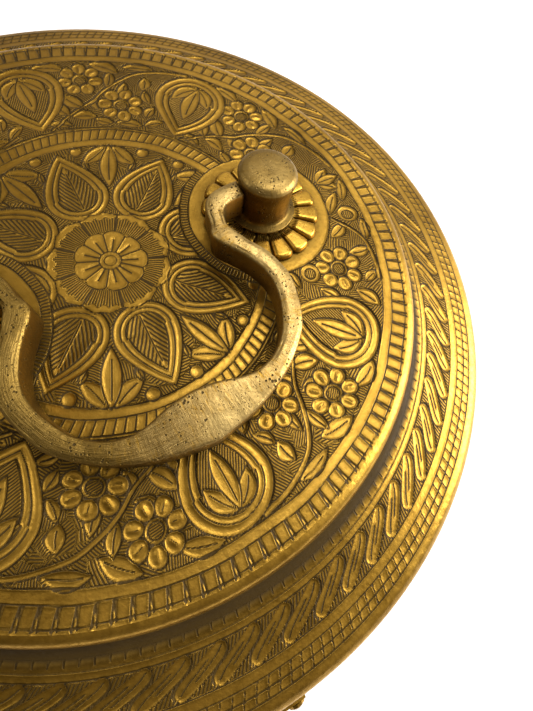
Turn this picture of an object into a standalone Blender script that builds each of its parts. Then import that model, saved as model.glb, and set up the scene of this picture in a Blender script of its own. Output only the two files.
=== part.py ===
"""Brass spice box (masala dabba): a round box with a hinged domed-step lid, a bail handle between two
posts, a hasp and staple, and seven loose spice cups with a small spoon.

The box stands on Z = 0 with its hinge at +Y and its hasp at -Y. Dimensions below are in millimetres about
the round box's own axis, and add_object() moves them into place and turns them into metres.
"""

import math

import bmesh
import bpy
import numpy as np

MM = 0.001
GAP = 0.3
# The round box's own axis is this far behind the origin, so that hinge and hasp reach equally far from it.
AXIS_Y = 5.06

# Box and lid
SHEET = 1.6
FOOT_HEIGHT = 5.0
FOOT_INNER, FOOT_OUTER = 84.0, 92.0
LID_TOP = 78.0
PLATFORM_RADIUS = 84.1
SKIRT_OUTER, SKIRT_INNER = 114.6, 113.0
SKIRT_BOTTOM = 54.0
MOUTH_HEIGHT = 64.1
BODY_OUTSIDE = [
    (97.0, 5.0),
    (101.5, 5.8),
    (105.2, 8.8),
    (107.0, 12.6),
    (107.9, 18.0),
    (109.2, 30.0),
    (110.2, 42.0),
    (110.7, 54.0),
    (110.8, MOUTH_HEIGHT),
]
ROUND_STEPS = 60

# Hinge at the back, its barrels along X
HINGE_Y, HINGE_Z = 118.0, 52.0
HINGE_WIDTH = 30.0
HINGE_BARREL, HINGE_PIN, PIN_CLEARANCE = 3.2, 1.5, 0.1
KNUCKLES = 5
WEB_INSET = 0.25
LEAF_INNER, LEAF_OUTER = 114.9, 116.3
LEAF_BOTTOM, LEAF_TOP = 55.8, 61.7
BODY_LEAF_BOTTOM, BODY_LEAF_TOP = 30.0, 48.0
LID_RIVET_Z, BODY_RIVET_Z = 59.2, 36.0
RIVET_SHANK, RIVET_HEAD = 1.2, 2.3
HINGE_RIVET_TURN = 5.0

# Hasp at the front
HASP_Y, HASP_Z = -118.0, 52.0
HASP_WIDTH, HASP_MIDDLE = 12.0, 6.0
HASP_BARREL, HASP_PIN = 2.6, 1.1
HASP_REST_TURN = 25.0
HASP_RIVET_TURN = 1.8
STRAP_HALF_WIDTH, STRAP_LENGTH, STRAP_THICKNESS = 5.5, 30.0, 1.4
SLOT_HALF_WIDTH, SLOT_START, SLOT_END = 1.9, 11.5, 25.5
STAPLE_Z, STAPLE_LEG_OFFSET, STAPLE_ROD = 34.0, 4.0, 1.3
STAPLE_TIP_Y, STAPLE_INNER_Y = -124.0, -106.9

# Handle: two posts on the lid and a flat bail between them
HANDLE_CENTRE = (2.2, -2.5)
HANDLE_TURN = 6.0
POST_REACH = 43.3
POST_RADIUS, POST_HEIGHT = 7.5, 17.0
# The bail's corner passes 3.6 above the lid as it swings over, so the collar stays lower than that.
COLLAR_TOP = 3.3
ROSETTE_RADIUS, ROSETTE_PETALS = 16.1, 15
SHANK_RADIUS = 3.0
PIVOT_HEIGHT = 8.75
BAIL_THICKNESS, BAIL_EDGE = 8.5, 0.7
BAIL_SLOPE = 4.0 / 52.0
BAIL_PIN, BAIL_PIN_END, POST_BORE_END = 1.3, 40.4, 41.2
# Right half of the bail, (along, across): along runs to the right post, across is negative to the front.
BAIL_INNER_EDGE = [
    (35.4, 3.2),
    (29.0, 2.6),
    (25.1, 0.5),
    (24.0, -2.0),
    (23.4, -6.2),
    (22.0, -8.5),
    (22.3, -10.6),
    (26.2, -16.0),
    (29.3, -22.3),
    (30.0, -26.0),
    (29.3, -30.7),
    (25.8, -38.0),
    (23.0, -41.0),
    (19.5, -43.2),
    (15.0, -44.3),
    (6.0, -42.3),
]
BAIL_OUTER_EDGE = [
    (35.4, -1.7),
    (31.5, -1.9),
    (29.3, -2.6),
    (27.7, -4.5),
    (27.0, -7.1),
    (28.3, -10.0),
    (32.9, -17.8),
    (34.4, -22.5),
    (35.1, -26.5),
    (34.6, -30.0),
    (31.9, -38.0),
    (29.2, -41.6),
    (23.0, -46.8),
    (16.0, -50.4),
    (7.7, -52.8),
]
BAIL_INNER_MIDDLE, BAIL_OUTER_MIDDLE = (0.0, -41.6), (0.0, -54.2)

# Spice cups and spoon
CUP_TOP_RADIUS, CUP_FOOT_RADIUS, CUP_HEIGHT, CUP_WALL = 33.5, 26.0, 34.0, 0.9
CUP_RING_RADIUS = 67.7
CUP_STEPS = 24
FLOOR_TOP = FOOT_HEIGHT + SHEET
SPOON_LENGTH, SPOON_THICKNESS = 57.0, 1.1
SPOON_LEAN = 33.0
SPOON_TURN = -90.0

BRASS = (0.78, 0.55, 0.20, 1.0)
DARK_BRASS = (0.52, 0.36, 0.13, 1.0)
PALE_BRASS = (0.84, 0.66, 0.30, 1.0)


def clear_scene():
    for obj in list(bpy.data.objects):
        bpy.data.objects.remove(obj, do_unlink=True)


def brass(name, colour):
    material = bpy.data.materials.new(name + "_brass")
    material.use_nodes = True
    shader = material.node_tree.nodes["Principled BSDF"]
    shader.inputs["Base Color"].default_value = colour
    shader.inputs["Metallic"].default_value = 1.0
    shader.inputs["Roughness"].default_value = 0.35
    return material


def add_object(name, shape, colour=BRASS, origin=(0.0, 0.0, 0.0)):
    """Makes one object from (points in mm, faces), with its own origin at the given place."""
    points, faces = shape
    origin = np.array(origin, float)
    mesh = bpy.data.meshes.new(name)
    mesh.from_pydata(((np.array(points) - origin) * MM).tolist(), [], faces)
    build = bmesh.new()
    build.from_mesh(mesh)
    bmesh.ops.recalc_face_normals(build, faces=build.faces)
    build.to_mesh(mesh)
    build.free()
    mesh.materials.append(brass(name, colour))
    obj = bpy.data.objects.new(name, mesh)
    obj.location = (origin + (0.0, AXIS_Y, 0.0)) * MM
    bpy.context.scene.collection.objects.link(obj)
    return obj


def combine(target, shapes, operation):
    """Adds each shape to the target, or cuts it away, with a Boolean whose helper stays out of the render."""
    for number, shape in enumerate(shapes):
        helper = add_object(f"{target.name}_{operation.lower()}_{number}", shape)
        helper.hide_render = True
        helper.display_type = "WIRE"
        modifier = target.modifiers.new(f"{operation.lower()}_{number}", "BOOLEAN")
        modifier.operation = operation
        modifier.solver = "EXACT"
        modifier.object = helper
    return target


def loft(sections):
    """Skin through sections with equal point counts, closed by a cap at each end."""
    count = len(sections[0])
    points = [tuple(point) for section in sections for point in section]
    faces = [list(range(count)), list(range(len(points) - count, len(points)))]
    for start in range(0, len(points) - count, count):
        for i in range(count):
            j = (i + 1) % count
            faces.append([start + i, start + j, start + count + j, start + count + i])
    return points, faces


def revolve(outline, steps, centre=(0.0, 0.0), reach=None):
    """Turns a closed (radius, height) outline about a vertical axis. reach(radius, angle) may vary the radius."""
    points, rings = [], []
    for radius, height in outline:
        if radius == 0:
            rings.append([len(points)] * steps)
            points.append((centre[0], centre[1], height))
            continue
        rings.append([len(points) + i for i in range(steps)])
        for i in range(steps):
            angle = 2 * math.pi * i / steps
            out = reach(radius, angle) if reach else radius
            x = centre[0] + out * math.cos(angle)
            y = centre[1] + out * math.sin(angle)
            points.append((x, y, height))
    faces = []
    for lower, upper in zip(rings, rings[1:] + rings[:1]):
        for i in range(steps):
            j = (i + 1) % steps
            face = list(dict.fromkeys([lower[i], lower[j], upper[j], upper[i]]))
            if len(face) > 2:
                faces.append(face)
    return points, faces


def aim(shape, start, direction):
    """Moves a shape whose axis is Z so that its origin is at start and its axis points along direction."""
    points, faces = shape
    axis = np.array(direction, float)
    axis /= np.linalg.norm(axis)
    helper = (0.0, 0.0, 1.0) if abs(axis[2]) < 0.9 else (1.0, 0.0, 0.0)
    side = np.cross(helper, axis)
    side /= np.linalg.norm(side)
    turn = np.column_stack([side, np.cross(axis, side), axis])
    return (np.array(points) @ turn.T + np.array(start)), faces


def cylinder(start, end, radius, steps=16):
    start, end = np.array(start, float), np.array(end, float)
    length = float(np.linalg.norm(end - start))
    outline = [(0, 0), (radius, 0), (radius, length), (0, length)]
    return aim(revolve(outline, steps), start, end - start)


def block(low, high):
    (x0, y0, z0), (x1, y1, z1) = low, high
    return loft([[(x, y0, z0), (x, y1, z0), (x, y1, z1), (x, y0, z1)] for x in (x0, x1)])


def sector(outline, middle, half_width):
    """Sweeps a (radius, height) outline about Z, half_width to each side of the middle angle."""
    half_turn = math.asin(half_width / outline[0][0])
    sections = []
    for turn in np.linspace(-half_turn, half_turn, 8):
        angle = math.radians(middle) + turn
        sections.append([(r * math.cos(angle), r * math.sin(angle), z) for r, z in outline])
    return loft(sections)


def body_radius(height):
    heights = [z for _, z in BODY_OUTSIDE]
    return float(np.interp(height, heights, [r for r, _ in BODY_OUTSIDE]))


def on_circle(radius, turn, height):
    """The point at this radius and angle in degrees about Z."""
    return (radius * math.cos(math.radians(turn)), radius * math.sin(math.radians(turn)), height)


def radial_hole(radius, turn, height, hole_radius):
    """Cutter through a wall at this radius, pointing outwards."""
    start = on_circle(radius - 6, turn, height)
    return cylinder(start, on_circle(radius + 6, turn, height), hole_radius, 12)


def in_handle(along, across, height):
    """World point of a place given in the handle's frame, its height counted from the lid's top."""
    turn = math.radians(HANDLE_TURN)
    x = HANDLE_CENTRE[0] + along * math.cos(turn) - across * math.sin(turn)
    y = HANDLE_CENTRE[1] + along * math.sin(turn) + across * math.cos(turn)
    return (x, y, LID_TOP + height)


def rivet_places():
    """(name, wall radius, angle in degrees, height) of each rivet."""
    places = []
    for side, sign in (("left", 1), ("right", -1)):
        turn = 90 + sign * HINGE_RIVET_TURN
        places.append((f"rivet_lid_{side}", SKIRT_OUTER, turn, LID_RIVET_Z))
        places.append((f"rivet_body_{side}", body_radius(BODY_RIVET_Z), turn, BODY_RIVET_Z))
        hasp_turn = -90 - sign * HASP_RIVET_TURN
        places.append((f"rivet_hasp_{side}", SKIRT_OUTER, hasp_turn, LID_RIVET_Z))
    return places


def rivet_holes(prefix):
    radius = RIVET_SHANK + GAP
    return [
        radial_hole(wall, turn, height, radius)
        for name, wall, turn, height in rivet_places()
        if name.startswith(prefix)
    ]


def staple_holes():
    """Cutters for the staple's two legs."""
    return [
        cylinder((0, STAPLE_INNER_Y + 5, z), (0, STAPLE_INNER_Y - 12, z), STAPLE_ROD + GAP, 12)
        for z in (STAPLE_Z - STAPLE_LEG_OFFSET, STAPLE_Z + STAPLE_LEG_OFFSET)
    ]


def make_foot_ring():
    outline = [
        (FOOT_INNER + 0.6, 0.0),
        (FOOT_OUTER - 0.6, 0.0),
        (FOOT_OUTER, 0.8),
        (FOOT_OUTER - 1.6, FOOT_HEIGHT - GAP),
        (FOOT_INNER + 1.6, FOOT_HEIGHT - GAP),
        (FOOT_INNER, 0.8),
    ]
    add_object("foot_ring", revolve(outline, 48), DARK_BRASS)


def make_body():
    inside = [(r - SHEET, z + (SHEET if z < 8 else 0)) for r, z in reversed(BODY_OUTSIDE)]
    outline = [(0, FOOT_HEIGHT)] + BODY_OUTSIDE + inside + [(0, FLOOR_TOP)]
    body = add_object("box_body", revolve(outline, ROUND_STEPS))
    combine(body, rivet_holes("rivet_body") + staple_holes(), "DIFFERENCE")


def make_lid():
    """Flat platform, bead, hollow cove, sloping brim, rolled rim and skirt."""
    outside = [
        (0, 0),
        (PLATFORM_RADIUS, 0),
        (86.0, -0.7),
        (87.0, -2.5),
        (87.8, -5.2),
        (90.3, -7.5),
        (93.1, -9.0),
        (103.4, -10.7),
        (110.3, -11.5),
        (113.4, -12.4),
        (115.0, -15.0),
        (SKIRT_OUTER, -16.0),
        (SKIRT_OUTER, SKIRT_BOTTOM - LID_TOP),
    ]
    inside = [
        (SKIRT_INNER, SKIRT_BOTTOM - LID_TOP),
        (SKIRT_INNER, -14.9),
        (112.0, -13.6),
        (110.0, -13.1),
        (103.2, -12.3),
        (92.6, -10.6),
        (89.2, -8.9),
        (86.3, -5.8),
        (85.4, -2.9),
        (83.6, -SHEET),
        (0, -SHEET),
    ]
    outline = [(r, LID_TOP + z) for r, z in outside + inside]
    shape = revolve(outline, ROUND_STEPS)
    lid = add_object("lid_shell", shape, BRASS, (0, HINGE_Y, HINGE_Z))
    cutters = rivet_holes("rivet_lid") + rivet_holes("rivet_hasp")
    for along in (-POST_REACH, POST_REACH):
        bottom, top = in_handle(along, 0, -8), in_handle(along, 0, 8)
        cutters.append(cylinder(bottom, top, SHANK_RADIUS + GAP, 20))
    combine(lid, cutters, "DIFFERENCE")


def make_post(side, sign):
    """Round post with a flared base ring, riveted through the lid over a rosette and a washer."""
    outline = [
        (0, -4.6),
        (4.4, -4.6),
        (4.4, -3.4),
        (SHANK_RADIUS, -3.4),
        (SHANK_RADIUS, 2.5),
        (9.6, 2.5),
        (9.8, 2.8),
        (9.0, 3.1),
        (7.8, COLLAR_TOP),
        (POST_RADIUS, COLLAR_TOP + 0.6),
        (POST_RADIUS, POST_HEIGHT - 1.4),
        (POST_RADIUS - 0.9, POST_HEIGHT - 0.4),
        (4.0, POST_HEIGHT),
        (0, POST_HEIGHT),
    ]
    x, y, top = in_handle(sign * POST_REACH, 0, 0)
    shape = revolve([(r, top + z) for r, z in outline], 20, (x, y))
    post = add_object(f"post_{side}", shape, BRASS, (x, y, top))
    bore_start = in_handle(sign * (POST_REACH - POST_RADIUS - 4), 0, PIVOT_HEIGHT)
    bore_end = in_handle(sign * POST_BORE_END, 0, PIVOT_HEIGHT)
    combine(post, [cylinder(bore_start, bore_end, BAIL_PIN + PIN_CLEARANCE)], "DIFFERENCE")


def petal_reach(radius, angle):
    """Scalloped edge: full radius at the middle of a petal, less between two of them."""
    outer = max(0.0, (radius - 9.0) / (ROSETTE_RADIUS - 9.0))
    dip = 1 - abs(math.sin(angle * ROSETTE_PETALS / 2))
    return radius - 1.5 * outer * dip


def make_rosette(side, sign):
    hole = SHANK_RADIUS + GAP
    outline = [
        (hole, GAP),
        (ROSETTE_RADIUS - 0.4, GAP),
        (ROSETTE_RADIUS, 1.0),
        (ROSETTE_RADIUS - 1.4, 1.9),
        (10.4, 2.2),
        (hole, 2.2),
    ]
    x, y, top = in_handle(sign * POST_REACH, 0, 0)
    shape = revolve([(r, top + z) for r, z in outline], 4 * ROSETTE_PETALS, (x, y), petal_reach)
    add_object(f"rosette_{side}", shape, PALE_BRASS, (x, y, top))


def make_washer(side, sign):
    hole = SHANK_RADIUS + GAP
    top, bottom = -SHEET - GAP, -SHEET - GAP - 1.2
    outline = [(hole, bottom), (6.5, bottom), (7.0, bottom + 0.5), (7.0, top), (hole, top)]
    x, y, lid = in_handle(sign * POST_REACH, 0, 0)
    shape = revolve([(r, lid + z) for r, z in outline], 20, (x, y))
    add_object(f"post_washer_{side}", shape, DARK_BRASS, (x, y, lid))


def inset(outline, distance):
    """Moves each point of a closed outline inwards, along the mean of its two edges' normals."""
    here = np.array(outline)
    along = np.roll(here, -1, axis=0) - here
    along /= np.linalg.norm(along, axis=1)[:, None]
    normals = np.column_stack([-along[:, 1], along[:, 0]])
    mean = normals + np.roll(normals, 1, axis=0)
    mean /= np.linalg.norm(mean, axis=1)[:, None]
    return here + mean * distance


def make_bail():
    """Flat bail, a swelling outline extruded along its own sloping plane, with a pin at each end."""
    right = BAIL_OUTER_EDGE[::-1] + BAIL_INNER_EDGE
    left = [(-u, v) for u, v in BAIL_INNER_EDGE[::-1] + BAIL_OUTER_EDGE]
    outline = [BAIL_OUTER_MIDDLE] + right + [BAIL_INNER_MIDDLE] + left
    half = BAIL_THICKNESS / 2
    sections = []
    for depth, height in ((BAIL_EDGE, -half), (0, BAIL_EDGE - half), (0, half - BAIL_EDGE), (BAIL_EDGE, half)):
        ring = inset(outline, depth)
        sections.append([in_handle(u, v, PIVOT_HEIGHT + height + v * BAIL_SLOPE) for u, v in ring])
    bail = add_object("bail_handle", loft(sections), PALE_BRASS, in_handle(0, 0, PIVOT_HEIGHT))
    pins = []
    for sign in (-1, 1):
        start = in_handle(sign * 33.0, 0, PIVOT_HEIGHT)
        end = in_handle(sign * BAIL_PIN_END, 0, PIVOT_HEIGHT)
        pins.append(cylinder(start, end, BAIL_PIN))
    combine(bail, pins, "UNION")


def knuckle_spans(width, count):
    """(start, end) along X of each barrel of a hinge, with a gap between neighbours."""
    pitch = width / count
    starts = [-width / 2 + i * pitch for i in range(count)]
    return [(start + GAP / 2, start + pitch - GAP / 2) for start in starts]


def webs(spans, low, high):
    """Blocks that join barrels to a leaf, each a little narrower than its barrel."""
    return [block((x0 + WEB_INSET, *low), (x1 - WEB_INSET, *high)) for x0, x1 in spans]


def barrels(spans, y, z, radius):
    return [cylinder((x0, y, z), (x1, y, z), radius) for x0, x1 in spans]


def make_lid_leaf():
    """Curved leaf on the lid's skirt, with two of the five barrels."""
    spans = knuckle_spans(HINGE_WIDTH, KNUCKLES)[1::2]
    outline = [(LEAF_INNER, LEAF_BOTTOM), (LEAF_OUTER, LEAF_BOTTOM), (LEAF_OUTER, LEAF_TOP), (LEAF_INNER, LEAF_TOP)]
    shape = sector(outline, 90, HINGE_WIDTH / 2)
    leaf = add_object("hinge_leaf_lid", shape, DARK_BRASS, (0, HINGE_Y, HINGE_Z))
    arms = webs(spans, (LEAF_INNER + 0.1, HINGE_Z + 0.8), (HINGE_Y - 0.6, LEAF_BOTTOM + 0.5))
    combine(leaf, arms + barrels(spans, HINGE_Y, HINGE_Z, HINGE_BARREL), "UNION")
    bore = cylinder((-HINGE_WIDTH, HINGE_Y, HINGE_Z), (HINGE_WIDTH, HINGE_Y, HINGE_Z), HINGE_PIN + PIN_CLEARANCE)
    combine(leaf, rivet_holes("rivet_lid") + [bore], "DIFFERENCE")


def make_body_leaf():
    """Curved leaf on the body's wall, with three barrels on webs that reach out past the wall."""
    spans = knuckle_spans(HINGE_WIDTH, KNUCKLES)[0::2]
    heights = (BODY_LEAF_BOTTOM, 42.0, BODY_LEAF_TOP)
    inner = [(body_radius(z) + GAP, z) for z in heights]
    outer = [(r + 1.4, z) for r, z in reversed(inner)]
    leaf = add_object("hinge_leaf_body", sector(inner + outer, 90, HINGE_WIDTH / 2), DARK_BRASS)
    web_low = body_radius(BODY_LEAF_TOP) + 0.7
    arms = webs(spans, (web_low, HINGE_Z - 5.2), (HINGE_Y - 0.9, HINGE_Z - 1.0))
    combine(leaf, arms + barrels(spans, HINGE_Y, HINGE_Z, HINGE_BARREL), "UNION")
    bore = cylinder((-HINGE_WIDTH, HINGE_Y, HINGE_Z), (HINGE_WIDTH, HINGE_Y, HINGE_Z), HINGE_PIN + PIN_CLEARANCE)
    combine(leaf, rivet_holes("rivet_body") + [bore], "DIFFERENCE")


def headed_pin(name, half_length, y, z, radius, head_radius, head):
    """Pin along X with a small head at each end."""
    length = 2 * half_length
    outline = [
        (0, -head),
        (head_radius - 0.4, -head),
        (head_radius, -head / 2),
        (head_radius, 0),
        (radius, 0),
        (radius, length),
        (head_radius, length),
        (head_radius, length + head / 2),
        (head_radius - 0.4, length + head),
        (0, length + head),
    ]
    shape = aim(revolve(outline, 16), (-half_length, y, z), (1, 0, 0))
    add_object(name, shape, PALE_BRASS, (0, y, z))


def make_rivets():
    """Each rivet has a flat head inside the wall and a domed one outside the leaf."""
    outline = [
        (0, -2.8),
        (1.9, -2.8),
        (1.9, -1.9),
        (RIVET_SHANK, -1.9),
        (RIVET_SHANK, 2.0),
        (RIVET_HEAD, 2.0),
        (RIVET_HEAD - 0.2, 2.7),
        (1.2, 3.3),
        (0, 3.4),
    ]
    for name, wall, turn, height in rivet_places():
        start = on_circle(wall, turn, height)
        shape = aim(revolve(outline, 12), start, on_circle(1, turn, 0))
        add_object(name, shape, PALE_BRASS, start)


def make_hasp_bracket():
    """Small curved leaf on the front of the skirt, with the two outer barrels."""
    outline = [(LEAF_INNER, LEAF_BOTTOM), (LEAF_OUTER, LEAF_BOTTOM), (LEAF_OUTER, LEAF_TOP), (LEAF_INNER, LEAF_TOP)]
    shape = sector(outline, -90, HASP_WIDTH / 2)
    bracket = add_object("hasp_bracket", shape, DARK_BRASS, (0, HASP_Y, HASP_Z))
    edge, middle = HASP_WIDTH / 2, HASP_MIDDLE / 2 + GAP
    spans = [(-edge, -middle), (middle, edge)]
    arms = webs(spans, (HASP_Y + 0.6, HASP_Z + 0.8), (-LEAF_INNER - 0.1, LEAF_BOTTOM + 0.5))
    combine(bracket, arms + barrels(spans, HASP_Y, HASP_Z, HASP_BARREL), "UNION")
    bore = cylinder((-HASP_WIDTH, HASP_Y, HASP_Z), (HASP_WIDTH, HASP_Y, HASP_Z), HASP_PIN + PIN_CLEARANCE)
    combine(bracket, rivet_holes("rivet_hasp") + [bore], "DIFFERENCE")


def swing(shape, degrees):
    """Turns a shape about the hasp's pin: a positive turn lifts the strap's free end outwards."""
    points, faces = shape
    turn = math.radians(degrees)
    pivot = np.array((0.0, HASP_Y, HASP_Z))
    matrix = np.array([[1, 0, 0], [0, math.cos(turn), math.sin(turn)], [0, -math.sin(turn), math.cos(turn)]])
    return (np.array(points) - pivot) @ matrix.T + pivot, faces


def make_hasp_strap():
    """Slotted strap that hangs from the bracket, swung a little off the staple."""
    half = STRAP_THICKNESS / 2
    outline = [(-STRAP_HALF_WIDTH, -4.4), (-STRAP_HALF_WIDTH, STRAP_HALF_WIDTH - STRAP_LENGTH)]
    for step in range(1, 8):
        turn = math.pi * step / 8
        x = -STRAP_HALF_WIDTH * math.cos(turn)
        outline.append((x, STRAP_HALF_WIDTH - STRAP_LENGTH - STRAP_HALF_WIDTH * math.sin(turn)))
    outline += [(STRAP_HALF_WIDTH, STRAP_HALF_WIDTH - STRAP_LENGTH), (STRAP_HALF_WIDTH, -4.4)]
    plate = loft([[(x, HASP_Y + y, HASP_Z + z) for x, z in outline] for y in (-half, half)])
    strap = add_object("hasp_strap", swing(plate, HASP_REST_TURN), BRASS, (0, HASP_Y, HASP_Z))
    spans = [(-HASP_MIDDLE / 2, HASP_MIDDLE / 2)]
    arms = webs(spans, (HASP_Y - 0.9, HASP_Z - 6.0), (HASP_Y + 0.9, HASP_Z - 1.5))
    arms = [swing(arm, HASP_REST_TURN) for arm in arms]
    combine(strap, arms + barrels(spans, HASP_Y, HASP_Z, HASP_BARREL), "UNION")
    slot = block(
        (-SLOT_HALF_WIDTH, HASP_Y - 4, HASP_Z - SLOT_END),
        (SLOT_HALF_WIDTH, HASP_Y + 4, HASP_Z - SLOT_START),
    )
    bore = cylinder((-HASP_WIDTH, HASP_Y, HASP_Z), (HASP_WIDTH, HASP_Y, HASP_Z), HASP_PIN + PIN_CLEARANCE)
    combine(strap, [bore, swing(slot, HASP_REST_TURN)], "DIFFERENCE")


def make_staple():
    """Rod bent to a loop that stands out from the body, its legs through a plate and the wall."""
    bend_y = STAPLE_TIP_Y + STAPLE_ROD + STAPLE_LEG_OFFSET
    path = [(STAPLE_INNER_Y, STAPLE_LEG_OFFSET)]
    for step in range(9):
        turn = math.pi * step / 8
        path.append((bend_y - STAPLE_LEG_OFFSET * math.sin(turn), STAPLE_LEG_OFFSET * math.cos(turn)))
    path.append((STAPLE_INNER_Y, -STAPLE_LEG_OFFSET))
    path = np.array(path)
    sections = []
    for i, here in enumerate(path):
        along = path[min(i + 1, len(path) - 1)] - path[max(i - 1, 0)]
        along /= np.linalg.norm(along)
        section = []
        for turn in np.arange(10) * math.tau / 10:
            side = STAPLE_ROD * math.cos(turn)
            y = here[0] - side * along[1]
            z = STAPLE_Z + here[1] + side * along[0]
            section.append((STAPLE_ROD * math.sin(turn), y, z))
        sections.append(section)
    add_object("staple", loft(sections), PALE_BRASS)


def make_staple_plate():
    heights = (STAPLE_Z - 8.5, STAPLE_Z - 4, STAPLE_Z + 8.5)
    inner = [(body_radius(z) + GAP, z) for z in heights]
    outer = [(r + 1.1, z) for r, z in reversed(inner)]
    plate = add_object("staple_plate", sector(inner + outer, -90, 5.0), DARK_BRASS)
    combine(plate, staple_holes(), "DIFFERENCE")


def make_cup(name, centre):
    """Katori: straight flaring wall, rounded foot and a thickened lip."""
    base = FLOOR_TOP + GAP
    outline = [
        (0, 0),
        (CUP_FOOT_RADIUS - 3.0, 0),
        (CUP_FOOT_RADIUS, 2.2),
        (CUP_TOP_RADIUS - 1.2, CUP_HEIGHT - 2.4),
        (CUP_TOP_RADIUS, CUP_HEIGHT - 1.6),
        (CUP_TOP_RADIUS, CUP_HEIGHT - 0.4),
        (CUP_TOP_RADIUS - 0.7, CUP_HEIGHT),
        (CUP_TOP_RADIUS - 1.9, CUP_HEIGHT - 0.6),
        (CUP_FOOT_RADIUS - CUP_WALL, 2.6),
        (CUP_FOOT_RADIUS - 3.3, CUP_WALL),
        (0, CUP_WALL),
    ]
    shape = revolve([(r, base + z) for r, z in outline], CUP_STEPS, centre)
    add_object(name, shape, PALE_BRASS, (centre[0], centre[1], base))


def make_cups():
    make_cup("cup_center", (0.0, 0.0))
    for number in range(6):
        x, y, _ = on_circle(CUP_RING_RADIUS, 60 * number, 0)
        make_cup(f"cup_{number + 1}", (x, y))


def spoon_section(share):
    """(half width, sag) of the spoon at this share of its length: bowl, neck, then handle."""
    stations = (0.0, 0.02, 0.08, 0.16, 0.24, 0.31, 0.36, 0.41, 0.70, 0.94, 1.0)
    half_widths = (1.6, 3.6, 6.4, 7.8, 7.4, 5.4, 3.2, 2.0, 2.2, 3.2, 1.8)
    sags = (0.1, 0.5, 2.4, 3.6, 3.4, 2.2, 0.9, 0.3, 0.2, 0.3, 0.2)
    return np.interp(share, stations, half_widths), np.interp(share, stations, sags)


def make_spoon():
    """Small spoon that leans in the middle cup, bowl down, handle over the lip side."""
    lean, turn = math.radians(SPOON_LEAN), math.radians(SPOON_TURN)
    start = np.array((-22.5, 0.0, FLOOR_TOP + GAP + CUP_WALL + 5.2))
    along = np.array((math.cos(lean), 0.0, math.sin(lean)))
    up = np.array((-math.sin(lean), 0.0, math.cos(lean)))
    spin = np.array([[math.cos(turn), -math.sin(turn), 0], [math.sin(turn), math.cos(turn), 0], [0, 0, 1]])
    across_steps = np.linspace(-1, 1, 7)
    sections = []
    for share in (0.0, 0.02, 0.08, 0.16, 0.24, 0.31, 0.36, 0.41, 0.70, 0.94, 1.0):
        half_width, sag = spoon_section(share)
        middle = start + along * share * SPOON_LENGTH
        top = [middle + np.array((0, c * half_width, 0)) - up * sag * (1 - c * c) for c in across_steps]
        bottom = [point - up * SPOON_THICKNESS for point in top[::-1]]
        sections.append([spin @ point for point in top + bottom])
    add_object("spoon", loft(sections), PALE_BRASS, spin @ start)


def main():
    clear_scene()
    make_foot_ring()
    make_body()
    make_lid()
    for side, sign in (("left", -1), ("right", 1)):
        make_post(side, sign)
        make_rosette(side, sign)
        make_washer(side, sign)
    make_bail()
    make_lid_leaf()
    make_body_leaf()
    headed_pin("hinge_pin", HINGE_WIDTH / 2 + GAP, HINGE_Y, HINGE_Z, HINGE_PIN, 2.6, 1.2)
    make_rivets()
    make_hasp_bracket()
    make_hasp_strap()
    headed_pin("hasp_pin", HASP_WIDTH / 2 + GAP, HASP_Y, HASP_Z, HASP_PIN, 1.9, 1.0)
    make_staple()
    make_staple_plate()
    make_cups()
    make_spoon()


main()
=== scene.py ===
"""Looks of the brass spice box: engraved lid, cast bail and posts, spun body and cups, cut fittings.

Lengths are in millimetres about the round box's own axis until grid_piece() places them and turns them
into metres. Ornament is drawn by the Engraving class, which keeps for every point of a surface its relief,
the distance to the nearest cut line, where and how the ground is hatched, and how much painted shade and
darker tone are laid on it. The materials read those.
"""

import math

import bpy
import numpy as np
from mathutils import Matrix, Vector


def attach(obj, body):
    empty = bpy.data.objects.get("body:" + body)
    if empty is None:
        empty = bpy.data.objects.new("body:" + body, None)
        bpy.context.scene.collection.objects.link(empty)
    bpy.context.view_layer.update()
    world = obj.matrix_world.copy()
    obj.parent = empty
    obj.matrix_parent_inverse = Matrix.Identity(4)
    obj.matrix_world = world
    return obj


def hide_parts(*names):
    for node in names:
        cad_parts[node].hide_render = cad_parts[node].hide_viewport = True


MM = 0.001
AXIS_Y = 5.06
LID_TOP = 78.0
ORNAMENT_TURN = 6.0
HANDLE_CENTRE = (2.2, -2.5)
POST_REACH = 43.3
PIVOT_HEIGHT = 8.75
BAIL_THICKNESS = 8.5
BAIL_SLOPE = 4.0 / 52.0
SKIRT_BOTTOM = 54.0
FLOOR_TOP = 6.6

FIELD_RADIUS = 42.7
PLATFORM_RADIUS = 84.0
PLATFORM_ROWS = 108
SCROLL_RADIUS = 99.2
SCROLL_HALF_BAND = 4.3
SCROLL_LEAVES = 74
WALL_RADIUS = 109.0
WALL_REPEATS = 26
DROP_STEP = 45.0
ROSETTE_RADIUS = 17.5
ROSETTE_PETALS = 16
CUP_RING_RADIUS = 67.7
OUTSIDE = -9.0

# Colours are linear
CLEAN = (0.62, 0.355, 0.054, 1.0)
TARNISH = (0.36, 0.198, 0.026, 1.0)
# Dark brown of patina in cuts, pits and stains, also the colour of the painted shade on the engraved brass.
PATINA_AND_PAINTED_SHADE = (0.026, 0.015, 0.004, 1.0)
PALE = (0.54, 0.375, 0.135, 1.0)


# --- numbers


def smooth(low, high, value):
    share = np.clip((value - low) / (high - low), 0, 1)
    return share * share * (3 - 2 * share)


def soft_noise(x, y, seed, count=7, longest=40.0):
    """Smooth wandering between about -1 and 1, from a few sine waves of random direction."""
    rng = np.random.default_rng(seed)
    total = np.zeros_like(x)
    for _ in range(count):
        length = longest * rng.uniform(0.25, 1.0)
        turn, phase = rng.uniform(0, math.tau, 2)
        total += np.sin((x * math.cos(turn) + y * math.sin(turn)) * math.tau / length + phase)
    return total / math.sqrt(count)


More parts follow.
